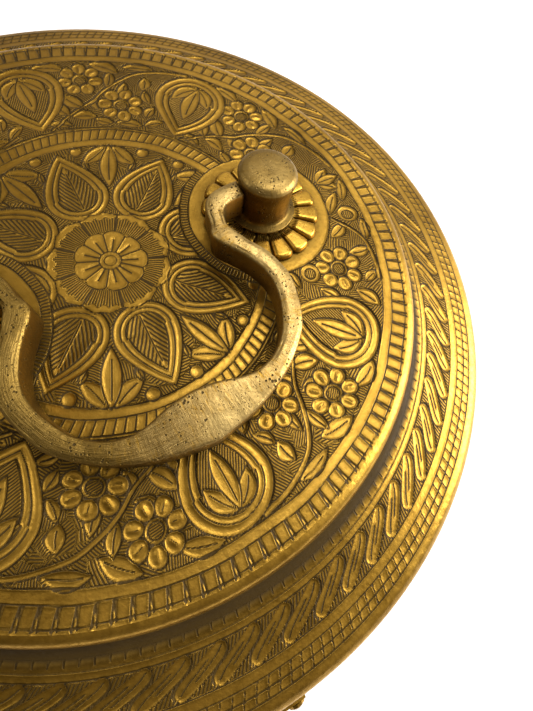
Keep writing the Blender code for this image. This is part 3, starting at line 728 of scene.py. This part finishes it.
def engraved_brass():
    """Old engraved sheet: rubbed bright on top, brown in the cuts and hatching, darker near the cuts, and
    painted shade in the cove under the bead and round the rosettes.
    """
    g = Graph("engraved_brass")
    line, hatch, stripe = g.attribute("line"), g.attribute("hatch"), g.attribute("stripe")
    shade = g.attribute("shade")
    broad = g.noise(38, 4)
    fine = g.noise(1.1, 3)
    grain = g.noise(0.35, 2)
    wander = g.times(g.math("SUBTRACT", g.noise(2.4, 2), 0.5), 0.5)
    wave = g.math("COSINE", g.times(g.plus(stripe, wander), math.tau))
    stroke = g.ramp(wave, -0.35, 0.75)
    hatching = g.times(stroke, hatch, clamp=True)
    groove = g.ramp(g.plus(line, g.times(g.math("SUBTRACT", fine, 0.5), 0.16)), 0.03, 0.30, 1.0, 0.0)
    # Darker within 1.2 mm of every cut line, fading out with distance.
    near_line_darkening = g.ramp(line, 0.0, 1.2, 0.46, 0.0)
    ground = g.times(hatch, 0.50)
    worn_off = g.ramp(g.noise(9, 3), 0.35, 0.65, 0.82, 1.0)
    dark = g.larger(g.times(hatching, 0.95), g.times(groove, worn_off))
    # Adds the darkening near cut lines, the darker hatched ground, and the painted shade of the cove and
    # round the rosettes (with the posts' fields' darker tone).
    dark = g.plus(dark, g.larger(g.larger(near_line_darkening, ground), shade), clamp=True)
    blotches = g.ramp(g.noise(4.5, 4), 0.45, 0.75, 0.0, 0.45)
    tone = g.plus(g.ramp(broad, 0.36, 0.66, 0.0, 0.75), blotches, clamp=True)
    metal = g.mix(tone, CLEAN, TARNISH)
    metal = g.mix(g.ramp(fine, 0.42, 0.75, 0.0, 0.45), metal, TARNISH)
    # All that is dark, painted shade included, goes toward the patina brown.
    colour = g.mix(g.times(dark, 0.93), metal, PATINA_AND_PAINTED_SHADE)
    height = g.weighted(
        (g.times(stroke, hatch), -1.0), (groove, -1.3), (fine, 0.45), (grain, 0.16),
        (g.noise(5.5, 3), 1.3),
    )
    g.bump(height, 0.14)
    rough = g.plus(g.ramp(fine, 0.3, 0.8, 0.31, 0.46), g.times(dark, 0.22))
    # Metal loses its shine where it is dark: in cuts, hatching and grime, and under the painted shade.
    g.matte_grime_and_shade(dark)
    return g.done(colour, rough)


def cast_brass():
    """Filed casting: pits, a scratched top, and brown sides; the bright top and dark sides are partly wear
    and partly painted light and shade.
    """
    g = Graph("cast_brass")
    wear_and_painted_light, along, across = g.attribute("wear_and_painted_light"), g.attribute("along"), g.attribute("across")
    brushed, dullness_and_painted_shade = g.attribute("brushed"), g.attribute("dullness_and_painted_shade")
    strokes = g.noise(1000, 3, g.vector(g.times(along, 0.16), g.times(across, 3.4)))
    scratches = g.noise(1000, 2, g.vector(g.times(along, 1.9), g.times(across, 0.30)))
    pit_size = g.noise(5.0, 2)
    pits = g.ramp(g.plus(g.cells(1.0), g.times(pit_size, 0.9)), 0.50, 0.66, 1.0, 0.0)
    small_pits = g.ramp(g.plus(g.cells(0.45), g.times(g.noise(2.2, 2), 0.6)), 0.36, 0.50, 0.85, 0.0)
    pitted = g.larger(pits, small_pits)
    fine = g.noise(0.6, 3)
    broad = g.noise(14, 4)
    metal = g.mix(g.ramp(broad, 0.35, 0.65, 0.0, 0.9), PALE, (0.36, 0.225, 0.066, 1.0))
    filed = g.times(g.ramp(strokes, 0.38, 0.60, 0.45, 0.95), brushed)
    metal = g.mix(filed, metal, (0.22, 0.135, 0.036, 1.0))
    scratched = g.times(g.ramp(scratches, 0.53, 0.62, 0.0, 0.85), g.ramp(broad, 0.4, 0.6))
    metal = g.mix(scratched, metal, TARNISH)
    # Dark brown of the sides: partly tarnish, partly painted shade.
    side = g.mix(g.ramp(broad, 0.3, 0.7), (0.20, 0.122, 0.028, 1.0), (0.09, 0.053, 0.012, 1.0))
    # Top colour against side colour, then a darker, flatter tone mixed in: even on the posts, and painted
    # shade growing toward the bail's left arm.
    colour = g.mix(wear_and_painted_light, side, g.mix(dullness_and_painted_shade, metal, (0.24, 0.148, 0.032, 1.0)))
    colour = g.mix(g.times(pitted, 0.85), colour, PATINA_AND_PAINTED_SHADE)
    height = g.weighted(
        (pitted, -1.6), (fine, 0.35), (g.times(strokes, brushed), 1.6), (scratches, 0.5),
        (g.noise(3.5, 2), 1.0),
    )
    g.bump(height, 0.12)
    rough = g.plus(g.ramp(fine, 0.3, 0.8, 0.36, 0.52), g.times(pitted, 0.3))
    g.matte_grime_and_shade(pitted)
    return g.done(colour, rough)


def rosette_brass():
    """Stamped petals: bright on the pillows, dark between them."""
    g = Graph("rosette_brass")
    line, hatch, stripe = g.attribute("line"), g.attribute("hatch"), g.attribute("stripe")
    stroke = g.ramp(g.math("COSINE", g.times(stripe, math.tau)), -0.3, 0.6)
    fine = g.noise(0.9, 3)
    groove = g.ramp(line, 0.12, 0.55, 1.0, 0.0)
    dark = g.larger(g.times(g.times(stroke, hatch), 0.8), groove)
    metal = g.mix(g.ramp(g.noise(7, 3), 0.4, 0.7, 0.0, 0.8), CLEAN, TARNISH)
    colour = g.mix(g.times(dark, 0.92), metal, PATINA_AND_PAINTED_SHADE)
    g.bump(g.plus(g.times(dark, -0.8), g.times(fine, 0.3)), 0.10)
    return g.done(colour, g.ramp(fine, 0.3, 0.8, 0.26, 0.40))


def spun_brass(name, clean, tarnish, ring_mm, rough):
    """Spun sheet: faint turning rings, stains and fine scratches."""
    g = Graph(name)
    broad = g.noise(26, 4)
    fine = g.noise(0.9, 3)
    rings = g.noise(ring_mm, 2, g.stretch((0.06, 0.06, 1.0)))
    spots = g.ramp(g.cells(5.5), 0.02, 0.16, 0.5, 0.0)
    metal = g.mix(g.ramp(broad, 0.35, 0.68, 0.0, 0.85), clean, tarnish)
    metal = g.mix(g.times(spots, g.ramp(broad, 0.45, 0.6)), metal, PATINA_AND_PAINTED_SHADE)
    g.bump(g.weighted((rings, 0.8), (fine, 0.25)), 0.05)
    return g.done(metal, g.ramp(fine, 0.3, 0.8, rough, rough + 0.16))


def fitting_brass():
    """Cut sheet and drawn rod: file marks and dark stains."""
    g = Graph("fitting_brass")
    fine = g.noise(0.5, 3)
    file_marks = g.noise(0.45, 2, g.stretch((1.0, 0.12, 0.12)))
    broad = g.noise(6, 3)
    metal = g.mix(g.ramp(broad, 0.36, 0.66), CLEAN, TARNISH)
    metal = g.mix(g.ramp(file_marks, 0.55, 0.75, 0.0, 0.5), metal, PATINA_AND_PAINTED_SHADE)
    g.bump(g.plus(file_marks, g.times(fine, 0.4)), 0.04)
    return g.done(metal, g.ramp(fine, 0.3, 0.8, 0.30, 0.48))


# --- lid


LID_EDGE = [
    (84.0, 0.0), (85.0, -0.2), (85.9, -0.65), (86.6, -1.5), (86.95, -2.6), (87.3, -4.0), (88.0, -5.5),
    (89.0, -6.8), (90.3, -7.6),
    (93.1, -8.9), (95.0, -9.3), (99.2, -10.05), (103.4, -10.7), (106.1, -11.05), (110.3, -11.5),
    (112.6, -12.0), (114.2, -13.1), (115.0, -14.9), (114.75, -16.1), (114.55, -16.9),
    (114.55, SKIRT_BOTTOM - LID_TOP + 0.3), (114.2, SKIRT_BOTTOM - LID_TOP),
]
LID_INSIDE = [
    (114.2, SKIRT_BOTTOM), (113.3, SKIRT_BOTTOM), (113.0, SKIRT_BOTTOM + 0.3), (113.0, 63.1),
    (112.0, 64.4),
    (110.0, 64.9), (103.2, 65.7), (92.6, 67.4), (89.2, 69.1), (86.3, 72.2), (85.4, 75.1),
    (83.6, 76.4), (0.0, 76.4),
]


def make_lid(brass, spun):
    def platform(radius, turn, height):
        return draw_platform(radius, turn)

    def brim(radius, turn, height):
        return draw_brim(radius, turn, height - LID_TOP)

    level = np.full(PLATFORM_ROWS, LID_TOP)
    inner = np.column_stack([np.linspace(0.05, FIELD_RADIUS, PLATFORM_ROWS), level])
    outer = np.column_stack([np.linspace(FIELD_RADIUS, PLATFORM_RADIUS, PLATFORM_ROWS), level])
    edge = rounded([(r, LID_TOP + z) for r, z in LID_EDGE], 0.40, 0.9)
    edge[0] = (PLATFORM_RADIUS, LID_TOP)
    outer_keep = np.arange(PLATFORM_ROWS) > 0
    brim_keep = np.arange(len(edge)) < len(edge) - 1
    pieces = [
        engraved_surface("lid_inner_field", inner[::-1], 720, platform, brass, "lid"),
        engraved_surface("lid_outer_field", outer[::-1], 1440, platform, brass, "lid", outer_keep),
        engraved_surface("lid_brim", edge[::-1], 1440, brim, brass, "lid", brim_keep),
        lathe("lid_underside", rounded(LID_INSIDE, 1.2, 0.3)[::-1], 180, spun, "lid"),
    ]
    for piece in pieces:
        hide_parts("lid_shell")


def make_posts(brass):
    profile = [
        (0.0, 17.0), (3.0, 16.98), (5.4, 16.85), (6.9, 16.45), (7.8, 15.7), (8.15, 14.9),
        (7.75, 13.2), (7.5, 9.0),
        (7.4, 6.2), (7.45, 4.4), (7.9, 3.6), (9.0, 3.2), (9.7, 3.0), (9.78, 2.8), (9.5, 2.6), (3.0, 2.5),
        (3.0, -3.4), (4.3, -3.45), (4.4, -4.0), (3.6, -4.55), (0.0, -4.6),
    ]
    line = rounded(profile, 0.28, 0.45)
    columns = 96
    # Bright cap top and dark sides: partly wear, partly painted light on the top and painted shade on the
    # sides; the cap's shoulder is brightest.
    wear_and_painted_light = np.repeat(smooth(14.0, 16.2, line[:, 1])[:, None] * 0.9 + 0.1 * (line[:, 1:] > 9), columns, 1)
    edge = np.exp(-(((line[:, 1] - 15.9) / 0.6) ** 2)) * (line[:, 0] > 5)
    wear_and_painted_light = np.clip(wear_and_painted_light + edge[:, None], 0, 1)
    zero = np.zeros_like(wear_and_painted_light)
    turn = np.arange(columns) * math.tau / columns * 7.5
    attributes = {
        "wear_and_painted_light": wear_and_painted_light, "along": zero + turn, "across": zero + line[:, 1:], "brushed": zero, "dullness_and_painted_shade": zero + 0.6,
    }
    for side, (x, y) in zip(("left", "right"), post_places()):
        placed = np.column_stack([line[:, 0], LID_TOP + line[:, 1]])
        post = lathe(f"post_{side}_cast", placed[::-1], columns, brass, "lid", (x, y), 0.006,
                     {key: value[::-1] for key, value in attributes.items()})
        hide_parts(f"post_{side}")


def make_rosettes(brass):
    petals, columns = ROSETTE_PETALS, ROSETTE_PETALS * 22
    angle = np.arange(columns) * math.tau / columns
    radii = np.concatenate([np.linspace(3.4, 9.4, 5), np.linspace(9.6, ROSETTE_RADIUS, 44)])
    radius, turn = np.meshgrid(radii, angle, indexing="ij")
    off = np.abs((turn / (math.tau / petals) + 0.5) % 1.0 - 0.5) * 2
    tip = ROSETTE_RADIUS - 1.3 * off**3
    end = np.clip((tip - radius) / 1.2, 0, 1)
    pillow = np.clip(1 - off**6, 0, 1) ** 0.7 * np.sqrt(end * (2 - end))
    rise = 0.45 + 1.35 * pillow * smooth(9.0, 11.5, radius) + 0.9 * (1 - smooth(9.0, 11.0, radius))
    radius = np.minimum(radius, tip)
    gap = (1 - off) * radius * math.pi / petals
    line = np.minimum(gap, np.where(radius > tip - 0.02, 0.0, 2.0))
    hatch = np.where((radius > 9.2) & (radius < 11.6), 1.0, 0.0)
    for side, (x, y) in zip(("left", "right"), post_places()):
        points = np.stack([x + radius * np.cos(turn), y + radius * np.sin(turn), LID_TOP + rise], axis=-1)
        skirt = points[-1:].copy()
        skirt[:, :, 2] = LID_TOP + 0.3
        points = np.concatenate([points, skirt])[::-1]
        attributes = {}
        for key, values in (("line", line), ("hatch", hatch), ("stripe", turn * 110 / math.tau)):
            attributes[key] = np.concatenate([values, values[-1:]])[::-1]
        piece = grid_piece(f"rosette_{side}_petals", points, brass, "lid", attributes=attributes)
        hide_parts(f"rosette_{side}")


# Right half of the bail in the handle's frame, in stretches whose ends face each other across the bar
BAIL_INNER = [
    [(35.4, 3.2), (32.0, 3.0), (29.0, 2.6), (26.6, 1.6), (25.1, 0.5), (24.0, -2.0), (23.4, -6.2)],
    [(23.4, -6.2), (22.5, -7.4), (22.0, -8.5), (22.3, -10.6), (24.2, -13.4), (26.2, -16.0)],
    [(26.2, -16.0), (27.9, -18.9), (29.3, -22.3), (30.0, -26.0), (29.3, -30.7), (28.2, -33.5)],
    [(28.2, -33.5), (25.8, -38.0), (23.0, -41.0), (19.5, -43.2), (15.0, -44.3)],
    [(15.0, -44.3), (11.0, -43.8), (6.0, -42.3), (0.0, -41.6)],
]
BAIL_OUTER = [
    [(35.4, -1.7), (33.4, -1.7), (31.5, -1.9), (29.3, -2.6), (27.9, -4.5), (27.4, -6.2)],
    [(27.4, -6.2), (27.2, -7.6), (28.3, -10.0), (30.2, -13.8)],
    [(30.2, -13.8), (32.9, -17.8), (34.4, -22.5), (35.1, -26.5), (34.6, -30.0), (33.2, -34.6)],
    [(33.2, -34.6), (31.9, -38.0), (29.2, -41.6), (23.0, -46.8), (16.0, -50.4)],
    [(16.0, -50.4), (12.0, -51.8), (7.7, -52.8), (0.0, -54.2)],
]


def bail_edge(stretches, counts):
    """One edge of the whole bail, right end to left end."""
    half = []
    for stretch, count in zip(stretches, counts):
        half.append(resample(catmull(stretch, 12), count + 1)[:-1])
    half.append(np.array([stretches[-1][-1]]))
    right = np.vstack(half)
    kernel = np.hanning(9)[1:-1]
    kernel /= kernel.sum()
    left = right[-2::-1] * (-1, 1)
    whole = np.vstack([right, left])
    inner = np.column_stack([np.convolve(whole[:, i], kernel, "valid") for i in range(2)])
    reach = len(kernel) // 2
    return np.vstack([whole[:reach], inner, whole[-reach:]])


def make_bail(brass):
    """Bar swept between its two edges, flat on top with rubbed, rounded corners. Its top is coloured bright
    and its sides dark, partly wear and partly painted light and shade, and its left arm is darkened as
    painted shade.
    """
    counts = (26, 20, 26, 26, 24)
    inner, outer = bail_edge(BAIL_INNER, counts), bail_edge(BAIL_OUTER, counts)
    half = BAIL_THICKNESS / 2
    corner_steps = 6
    section = []
    for cx, cz, start, radius in ((1, 1, 0, 0.9), (-1, 1, 90, 0.9), (-1, -1, 180, 0.8), (1, -1, 270, 0.8)):
        for step in range(corner_steps + 1):
            turn = math.radians(start + 90 * step / corner_steps)
            section.append((cx, cz, radius * (math.cos(turn) - cx), radius * (math.sin(turn) - cz)))
        if (cx, cz) == (1, 1):
            section += [(share, 1, 0.0, 0.0) for share in (0.6, 0.3, 0.0, -0.3, -0.6)]
    section = np.array(section)
    width = np.linalg.norm(inner - outer, axis=1)
    middle = (inner + outer) / 2
    toward = (inner - outer) / width[:, None]
    room = np.minimum(1.0, width[:, None] / 2 / 1.7)
    offset = section[None, :, 0] * width[:, None] / 2 + section[None, :, 2] * room
    offset = np.clip(offset, -width[:, None] / 2, width[:, None] / 2)
    crown = 0.16 * (1 - np.abs(section[:, 0])) * (section[:, 1] > 0)
    rise = section[:, 1] * half + section[:, 3] - 0.16 + crown
    rise = np.where(section[:, 1] < 0, rise + 0.16, rise)
    u = middle[:, :1] + toward[:, :1] * offset
    v = middle[:, 1:] + toward[:, 1:] * offset
    bumps = 0.12 * soft_noise(u, v, 5, 7, 14.0) + 0.07 * soft_noise(u, v, 6, 7, 5.0)
    height = PIVOT_HEIGHT + rise[None, :] + v * BAIL_SLOPE + np.minimum(bumps, 0) * (rise > 0)
    x, y, z = in_handle(u, v, height)
    travelled = np.concatenate([[0], np.cumsum(np.linalg.norm(np.diff(middle, axis=0), axis=1))])
    along = np.repeat(travelled[:, None], len(section), 1)
    # Bright top face, dark sides and underside: partly wear, partly painted light and shade.
    wear_and_painted_light = smooth(1.2, 3.6, rise)[None, :] * np.ones_like(u)
    brushed = smooth(-2, 10, -u) * 0.9 + 0.25 * smooth(30, 34, u)
    # Painted shade: the bail's left arm is darkened toward its end.
    dullness_and_painted_shade = 0.85 * smooth(10, 24, -u)
    attributes = {"wear_and_painted_light": wear_and_painted_light, "along": along, "across": offset, "brushed": brushed, "dullness_and_painted_shade": dullness_and_painted_shade}
    points = np.stack([x, y, z], axis=-1)
    bar = grid_piece("bail_bar", points, brass, "bail", attributes=attributes, caps=(True, True))
    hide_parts("bail_handle")


def make_bail_pins(brass):
    """The bail's two ends, which turn in the posts."""
    circle = np.arange(24) * math.tau / 24
    for side, sign in (("left", -1), ("right", 1)):
        rows = []
        for reach, radius in ((34.6, 1.3), (40.0, 1.3), (40.4, 0.9), (40.4, 0.01)):
            height = PIVOT_HEIGHT + radius * np.sin(circle * sign)
            x, y, z = in_handle(sign * reach, radius * np.cos(circle * sign), height)
            rows.append(np.stack([x, y, z], axis=-1))
        points = np.array(rows)
        keys = ("wear_and_painted_light", "along", "across", "brushed", "dullness_and_painted_shade")
        flat = {key: np.full(points.shape[:2], 0.4) for key in keys}
        pin = grid_piece(f"bail_pin_{side}", points, brass, "bail", attributes=flat)
        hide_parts("bail_handle")


# --- box, cups and fittings


BODY_OUTSIDE = [
    (97.0, 5.0), (101.5, 5.8), (105.2, 8.8), (107.0, 12.6), (107.9, 18.0), (109.2, 30.0), (110.2, 42.0),
    (110.7, 54.0), (110.8, 63.7), (110.5, 64.1),
]
BODY_INSIDE = [
    (110.5, 64.1), (109.5, 64.1), (109.2, 63.7), (109.1, 54.0), (108.6, 42.0), (107.6, 30.0),
    (106.3, 18.0),
    (105.4, 14.2), (103.6, 10.4), (99.9, 7.4), (95.4, FLOOR_TOP), (60.0, FLOOR_TOP), (0.0, FLOOR_TOP),
]


def make_body(brass, spun):
    def wall(radius, turn, height):
        return draw_wall(turn * WALL_RADIUS, height)

    outside = rounded(BODY_OUTSIDE, 0.55, 0.8)
    pieces = [
        engraved_surface("body_wall", outside[::-1], 1300, wall, brass, "base"),
        lathe("body_inside", rounded(BODY_INSIDE, 1.2, 0.5)[::-1], 200, spun, "base"),
        lathe("body_underside", [(0, 5.0), (40, 5.0), (80, 5.0), (97.05, 5.0)], 200, spun, "base"),
    ]
    for piece in pieces:
        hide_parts("box_body")
    ring = [
        (85.6, 4.7), (84.0, 0.9), (84.3, 0.3), (84.9, 0.0), (91.1, 0.0), (91.7, 0.3), (92.0, 0.9),
        (90.4, 4.7),
        (85.6, 4.7),
    ]
    foot = lathe("foot_ring_spun", rounded(ring, 0.35, 0.3), 220, spun, "base")
    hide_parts("foot_ring")


def make_cups(spun):
    base = FLOOR_TOP + 0.3
    outline = [
        (0, 0.9), (22.7, 0.9), (25.1, 2.6), (28.8, 20.0), (31.6, 33.4), (32.1, 33.8),
        (32.8, 34.0), (33.3, 33.8),
        (33.5, 33.3), (33.4, 32.6), (32.6, 31.8), (32.1, 31.2), (29.6, 20.0), (26.0, 2.2),
        (23.2, 0.0), (0, 0),
    ]
    line = rounded(outline, 0.7, 0.35) + (0, base)
    centres = [("cup_center", 0.0, 0.0)]
    for number in range(6):
        turn = math.radians(60 * number)
        x, y = CUP_RING_RADIUS * math.cos(turn), CUP_RING_RADIUS * math.sin(turn)
        centres.append((f"cup_{number + 1}", x, y))
    for name, x, y in centres:
        cup = lathe(f"{name}_bowl", line[::-1], 96, spun, f"{name}_body", (x, y))
        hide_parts(name)


def make_spoon(spun):
    """Bowl, neck and flat handle, in the place of the CAD spoon."""
    lean, length, thickness = math.radians(33.0), 57.0, 1.1
    start = np.array((0.0, 22.5, FLOOR_TOP + 0.3 + 0.9 + 5.2))
    along = np.array((0.0, -math.cos(lean), math.sin(lean)))
    up = np.array((0.0, math.sin(lean), math.cos(lean)))
    stations = (0.0, 0.02, 0.08, 0.16, 0.24, 0.31, 0.36, 0.41, 0.70, 0.94, 1.0)
    half_widths = (1.6, 3.6, 6.4, 7.8, 7.4, 5.4, 3.2, 2.0, 2.2, 3.2, 1.8)
    sags = (0.1, 0.5, 2.4, 3.6, 3.4, 2.2, 0.9, 0.3, 0.2, 0.3, 0.2)
    knots = catmull(np.column_stack([stations, half_widths, sags]), 10)
    across = np.linspace(-1, 1, 21)
    rows = []
    for share, half_width, sag in knots:
        middle = start + along * share * length
        curve = sag * (1 - across**2)
        top = middle + across[:, None] * (half_width, 0, 0) - curve[:, None] * up
        below = (curve[::-1, None] + thickness) * up
        bottom = middle + across[::-1, None] * (half_width * 0.93, 0, 0) - below
        rows.append(np.vstack([top, bottom]))
    spoon = grid_piece("spoon_bowl_and_handle", np.array(rows), spun, "spoon_body", caps=(True, True))
    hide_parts("spoon")


def dress_fittings(frame, brass):
    """CAD nodes that keep their shape get the fittings' material."""
    redrawn = ("lid_shell", "post_left", "post_right", "rosette_", "bail_", "box_", "foot_", "cup_", "spoon")
    for name, node in frame["nodes"].items():
        if name.startswith(redrawn):
            continue
        for slot in node.material_slots:
            slot.material = brass


# --- stage


def make_stage():
    mesh = bpy.data.meshes.new("floor")
    size = 40.0
    corners = [(-size, -size, 0), (size, -size, 0), (size, size, 0), (-size, size, 0)]
    mesh.from_pydata(corners, [], [(0, 1, 2, 3)])
    material = bpy.data.materials.new("floor_paint")
    material.use_nodes = True
    shader = material.node_tree.nodes["Principled BSDF"]
    shader.inputs["Base Color"].default_value = (0.93, 0.93, 0.93, 1)
    shader.inputs["Roughness"].default_value = 0.8
    shader.inputs["Emission Color"].default_value = (1, 1, 1, 1)
    shader.inputs["Emission Strength"].default_value = 0.25
    mesh.materials.append(material)
    floor = bpy.data.objects.new("floor", mesh)
    bpy.context.scene.collection.objects.link(floor)


def add_light(name, place, size, watts):
    """Square soft box of this size in metres, aimed at the lid."""
    light = bpy.data.lights.new(name, "AREA")
    light.shape = "RECTANGLE"
    light.size, light.size_y = size, size
    light.energy = watts
    lamp = bpy.data.objects.new(name, light)
    lamp.location = place
    direction = np.array((0, 0, 0.07)) - np.array(place)
    lamp.rotation_euler = Vector(direction).to_track_quat("-Z", "Y").to_euler()
    bpy.context.scene.collection.objects.link(lamp)


def make_world():
    """Dim soft room, brighter on the right like window light, behind a plain pale backdrop."""
    world = bpy.data.worlds.new("studio")
    world.use_nodes = True
    tree = world.node_tree
    where = tree.nodes.new("ShaderNodeTexCoord")
    toward = tree.nodes.new("ShaderNodeVectorMath")
    toward.operation = "DOT_PRODUCT"
    toward.inputs[1].default_value = (0.88, 0.28, 0.38)
    glow = tree.nodes.new("ShaderNodeMapRange")
    glow.interpolation_type = "SMOOTHSTEP"
    for key, value in (("From Min", -0.35), ("From Max", 1.0), ("To Min", 0.12), ("To Max", 0.70)):
        glow.inputs[key].default_value = value
    tint = tree.nodes.new("ShaderNodeMix")
    tint.data_type = "RGBA"
    tint.inputs["A"].default_value = (1.0, 0.84, 0.58, 1)
    tint.inputs["B"].default_value = (1.0, 0.98, 0.94, 1)
    room = tree.nodes["Background"]
    backdrop = tree.nodes.new("ShaderNodeBackground")
    backdrop.inputs["Color"].default_value = (0.86, 0.86, 0.86, 1)
    either = tree.nodes.new("ShaderNodeMixShader")
    ray = tree.nodes.new("ShaderNodeLightPath")
    for source, target in (
        (where.outputs["Generated"], toward.inputs[0]),
        (toward.outputs["Value"], glow.inputs["Value"]),
        (glow.outputs["Result"], room.inputs["Strength"]),
        (glow.outputs["Result"], tint.inputs["Factor"]),
        (tint.outputs["Result"], room.inputs["Color"]),
        (ray.outputs["Is Camera Ray"], either.inputs["Fac"]),
        (room.outputs["Background"], either.inputs[1]),
        (backdrop.outputs["Background"], either.inputs[2]),
        (either.outputs["Shader"], tree.nodes["World Output"].inputs["Surface"]),
    ):
        tree.links.new(source, target)
    bpy.context.scene.world = world


def make_lights():
    bpy.context.scene.view_settings.view_transform = "Standard"
    add_light("key", (0.80, -0.30, 0.50), 0.5, 11.0)
    add_light("top", (0.40, 0.20, 1.05), 0.45, 4.0)
    add_light("fill", (-0.8, 0.5, 0.9), 0.6, 2.5)


def make_camera():
    """Close view from the front left corner, steeply down, rolled a little."""
    heading, pitch, roll = math.radians(43.3), math.radians(68.28), math.radians(23.60)
    level = math.cos(pitch)
    forward = Vector((level * math.cos(heading), level * math.sin(heading), -math.sin(pitch)))
    right = Vector((math.sin(heading), -math.cos(heading), 0))
    up = right.cross(forward)
    camera_x = right * math.cos(roll) + up * math.sin(roll)
    camera_y = -right * math.sin(roll) + up * math.cos(roll)
    turn = Matrix((camera_x, camera_y, -forward)).transposed()
    camera = bpy.data.cameras.new("camera")
    camera.sensor_width = 36
    camera.sensor_fit = "AUTO"
    camera.lens = 19.32
    camera.clip_start = 0.005
    shot = bpy.data.objects.new("camera", camera)
    place = Vector((1.32, -65.2 + AXIS_Y, LID_TOP + 92.03)) * MM
    shot.matrix_world = Matrix.Translation(place) @ turn.to_4x4()
    bpy.context.scene.collection.objects.link(shot)
    bpy.context.scene.camera = shot


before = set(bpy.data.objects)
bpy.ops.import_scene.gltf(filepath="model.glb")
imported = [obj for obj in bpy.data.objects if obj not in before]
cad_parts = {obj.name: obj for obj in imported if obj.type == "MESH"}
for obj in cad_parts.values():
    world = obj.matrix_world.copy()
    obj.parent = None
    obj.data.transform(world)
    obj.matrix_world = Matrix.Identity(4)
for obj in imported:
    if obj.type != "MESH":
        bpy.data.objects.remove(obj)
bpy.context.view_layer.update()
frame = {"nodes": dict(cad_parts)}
make_stage()
make_camera()
make_world()
make_lights()
engraved = engraved_brass()
cast = cast_brass()
stamped = rosette_brass()
spun = spun_brass("spun_brass", CLEAN, TARNISH, 0.9, 0.27)
bright = spun_brass("bright_spun_brass", PALE, CLEAN, 0.8, 0.18)
cut_sheet = fitting_brass()
make_lid(engraved, spun)
make_posts(cast)
make_rosettes(stamped)
make_bail(cast)
make_bail_pins(cast)
make_body(engraved, spun)
make_cups(bright)
make_spoon(bright)
dress_fittings(frame, cut_sheet)
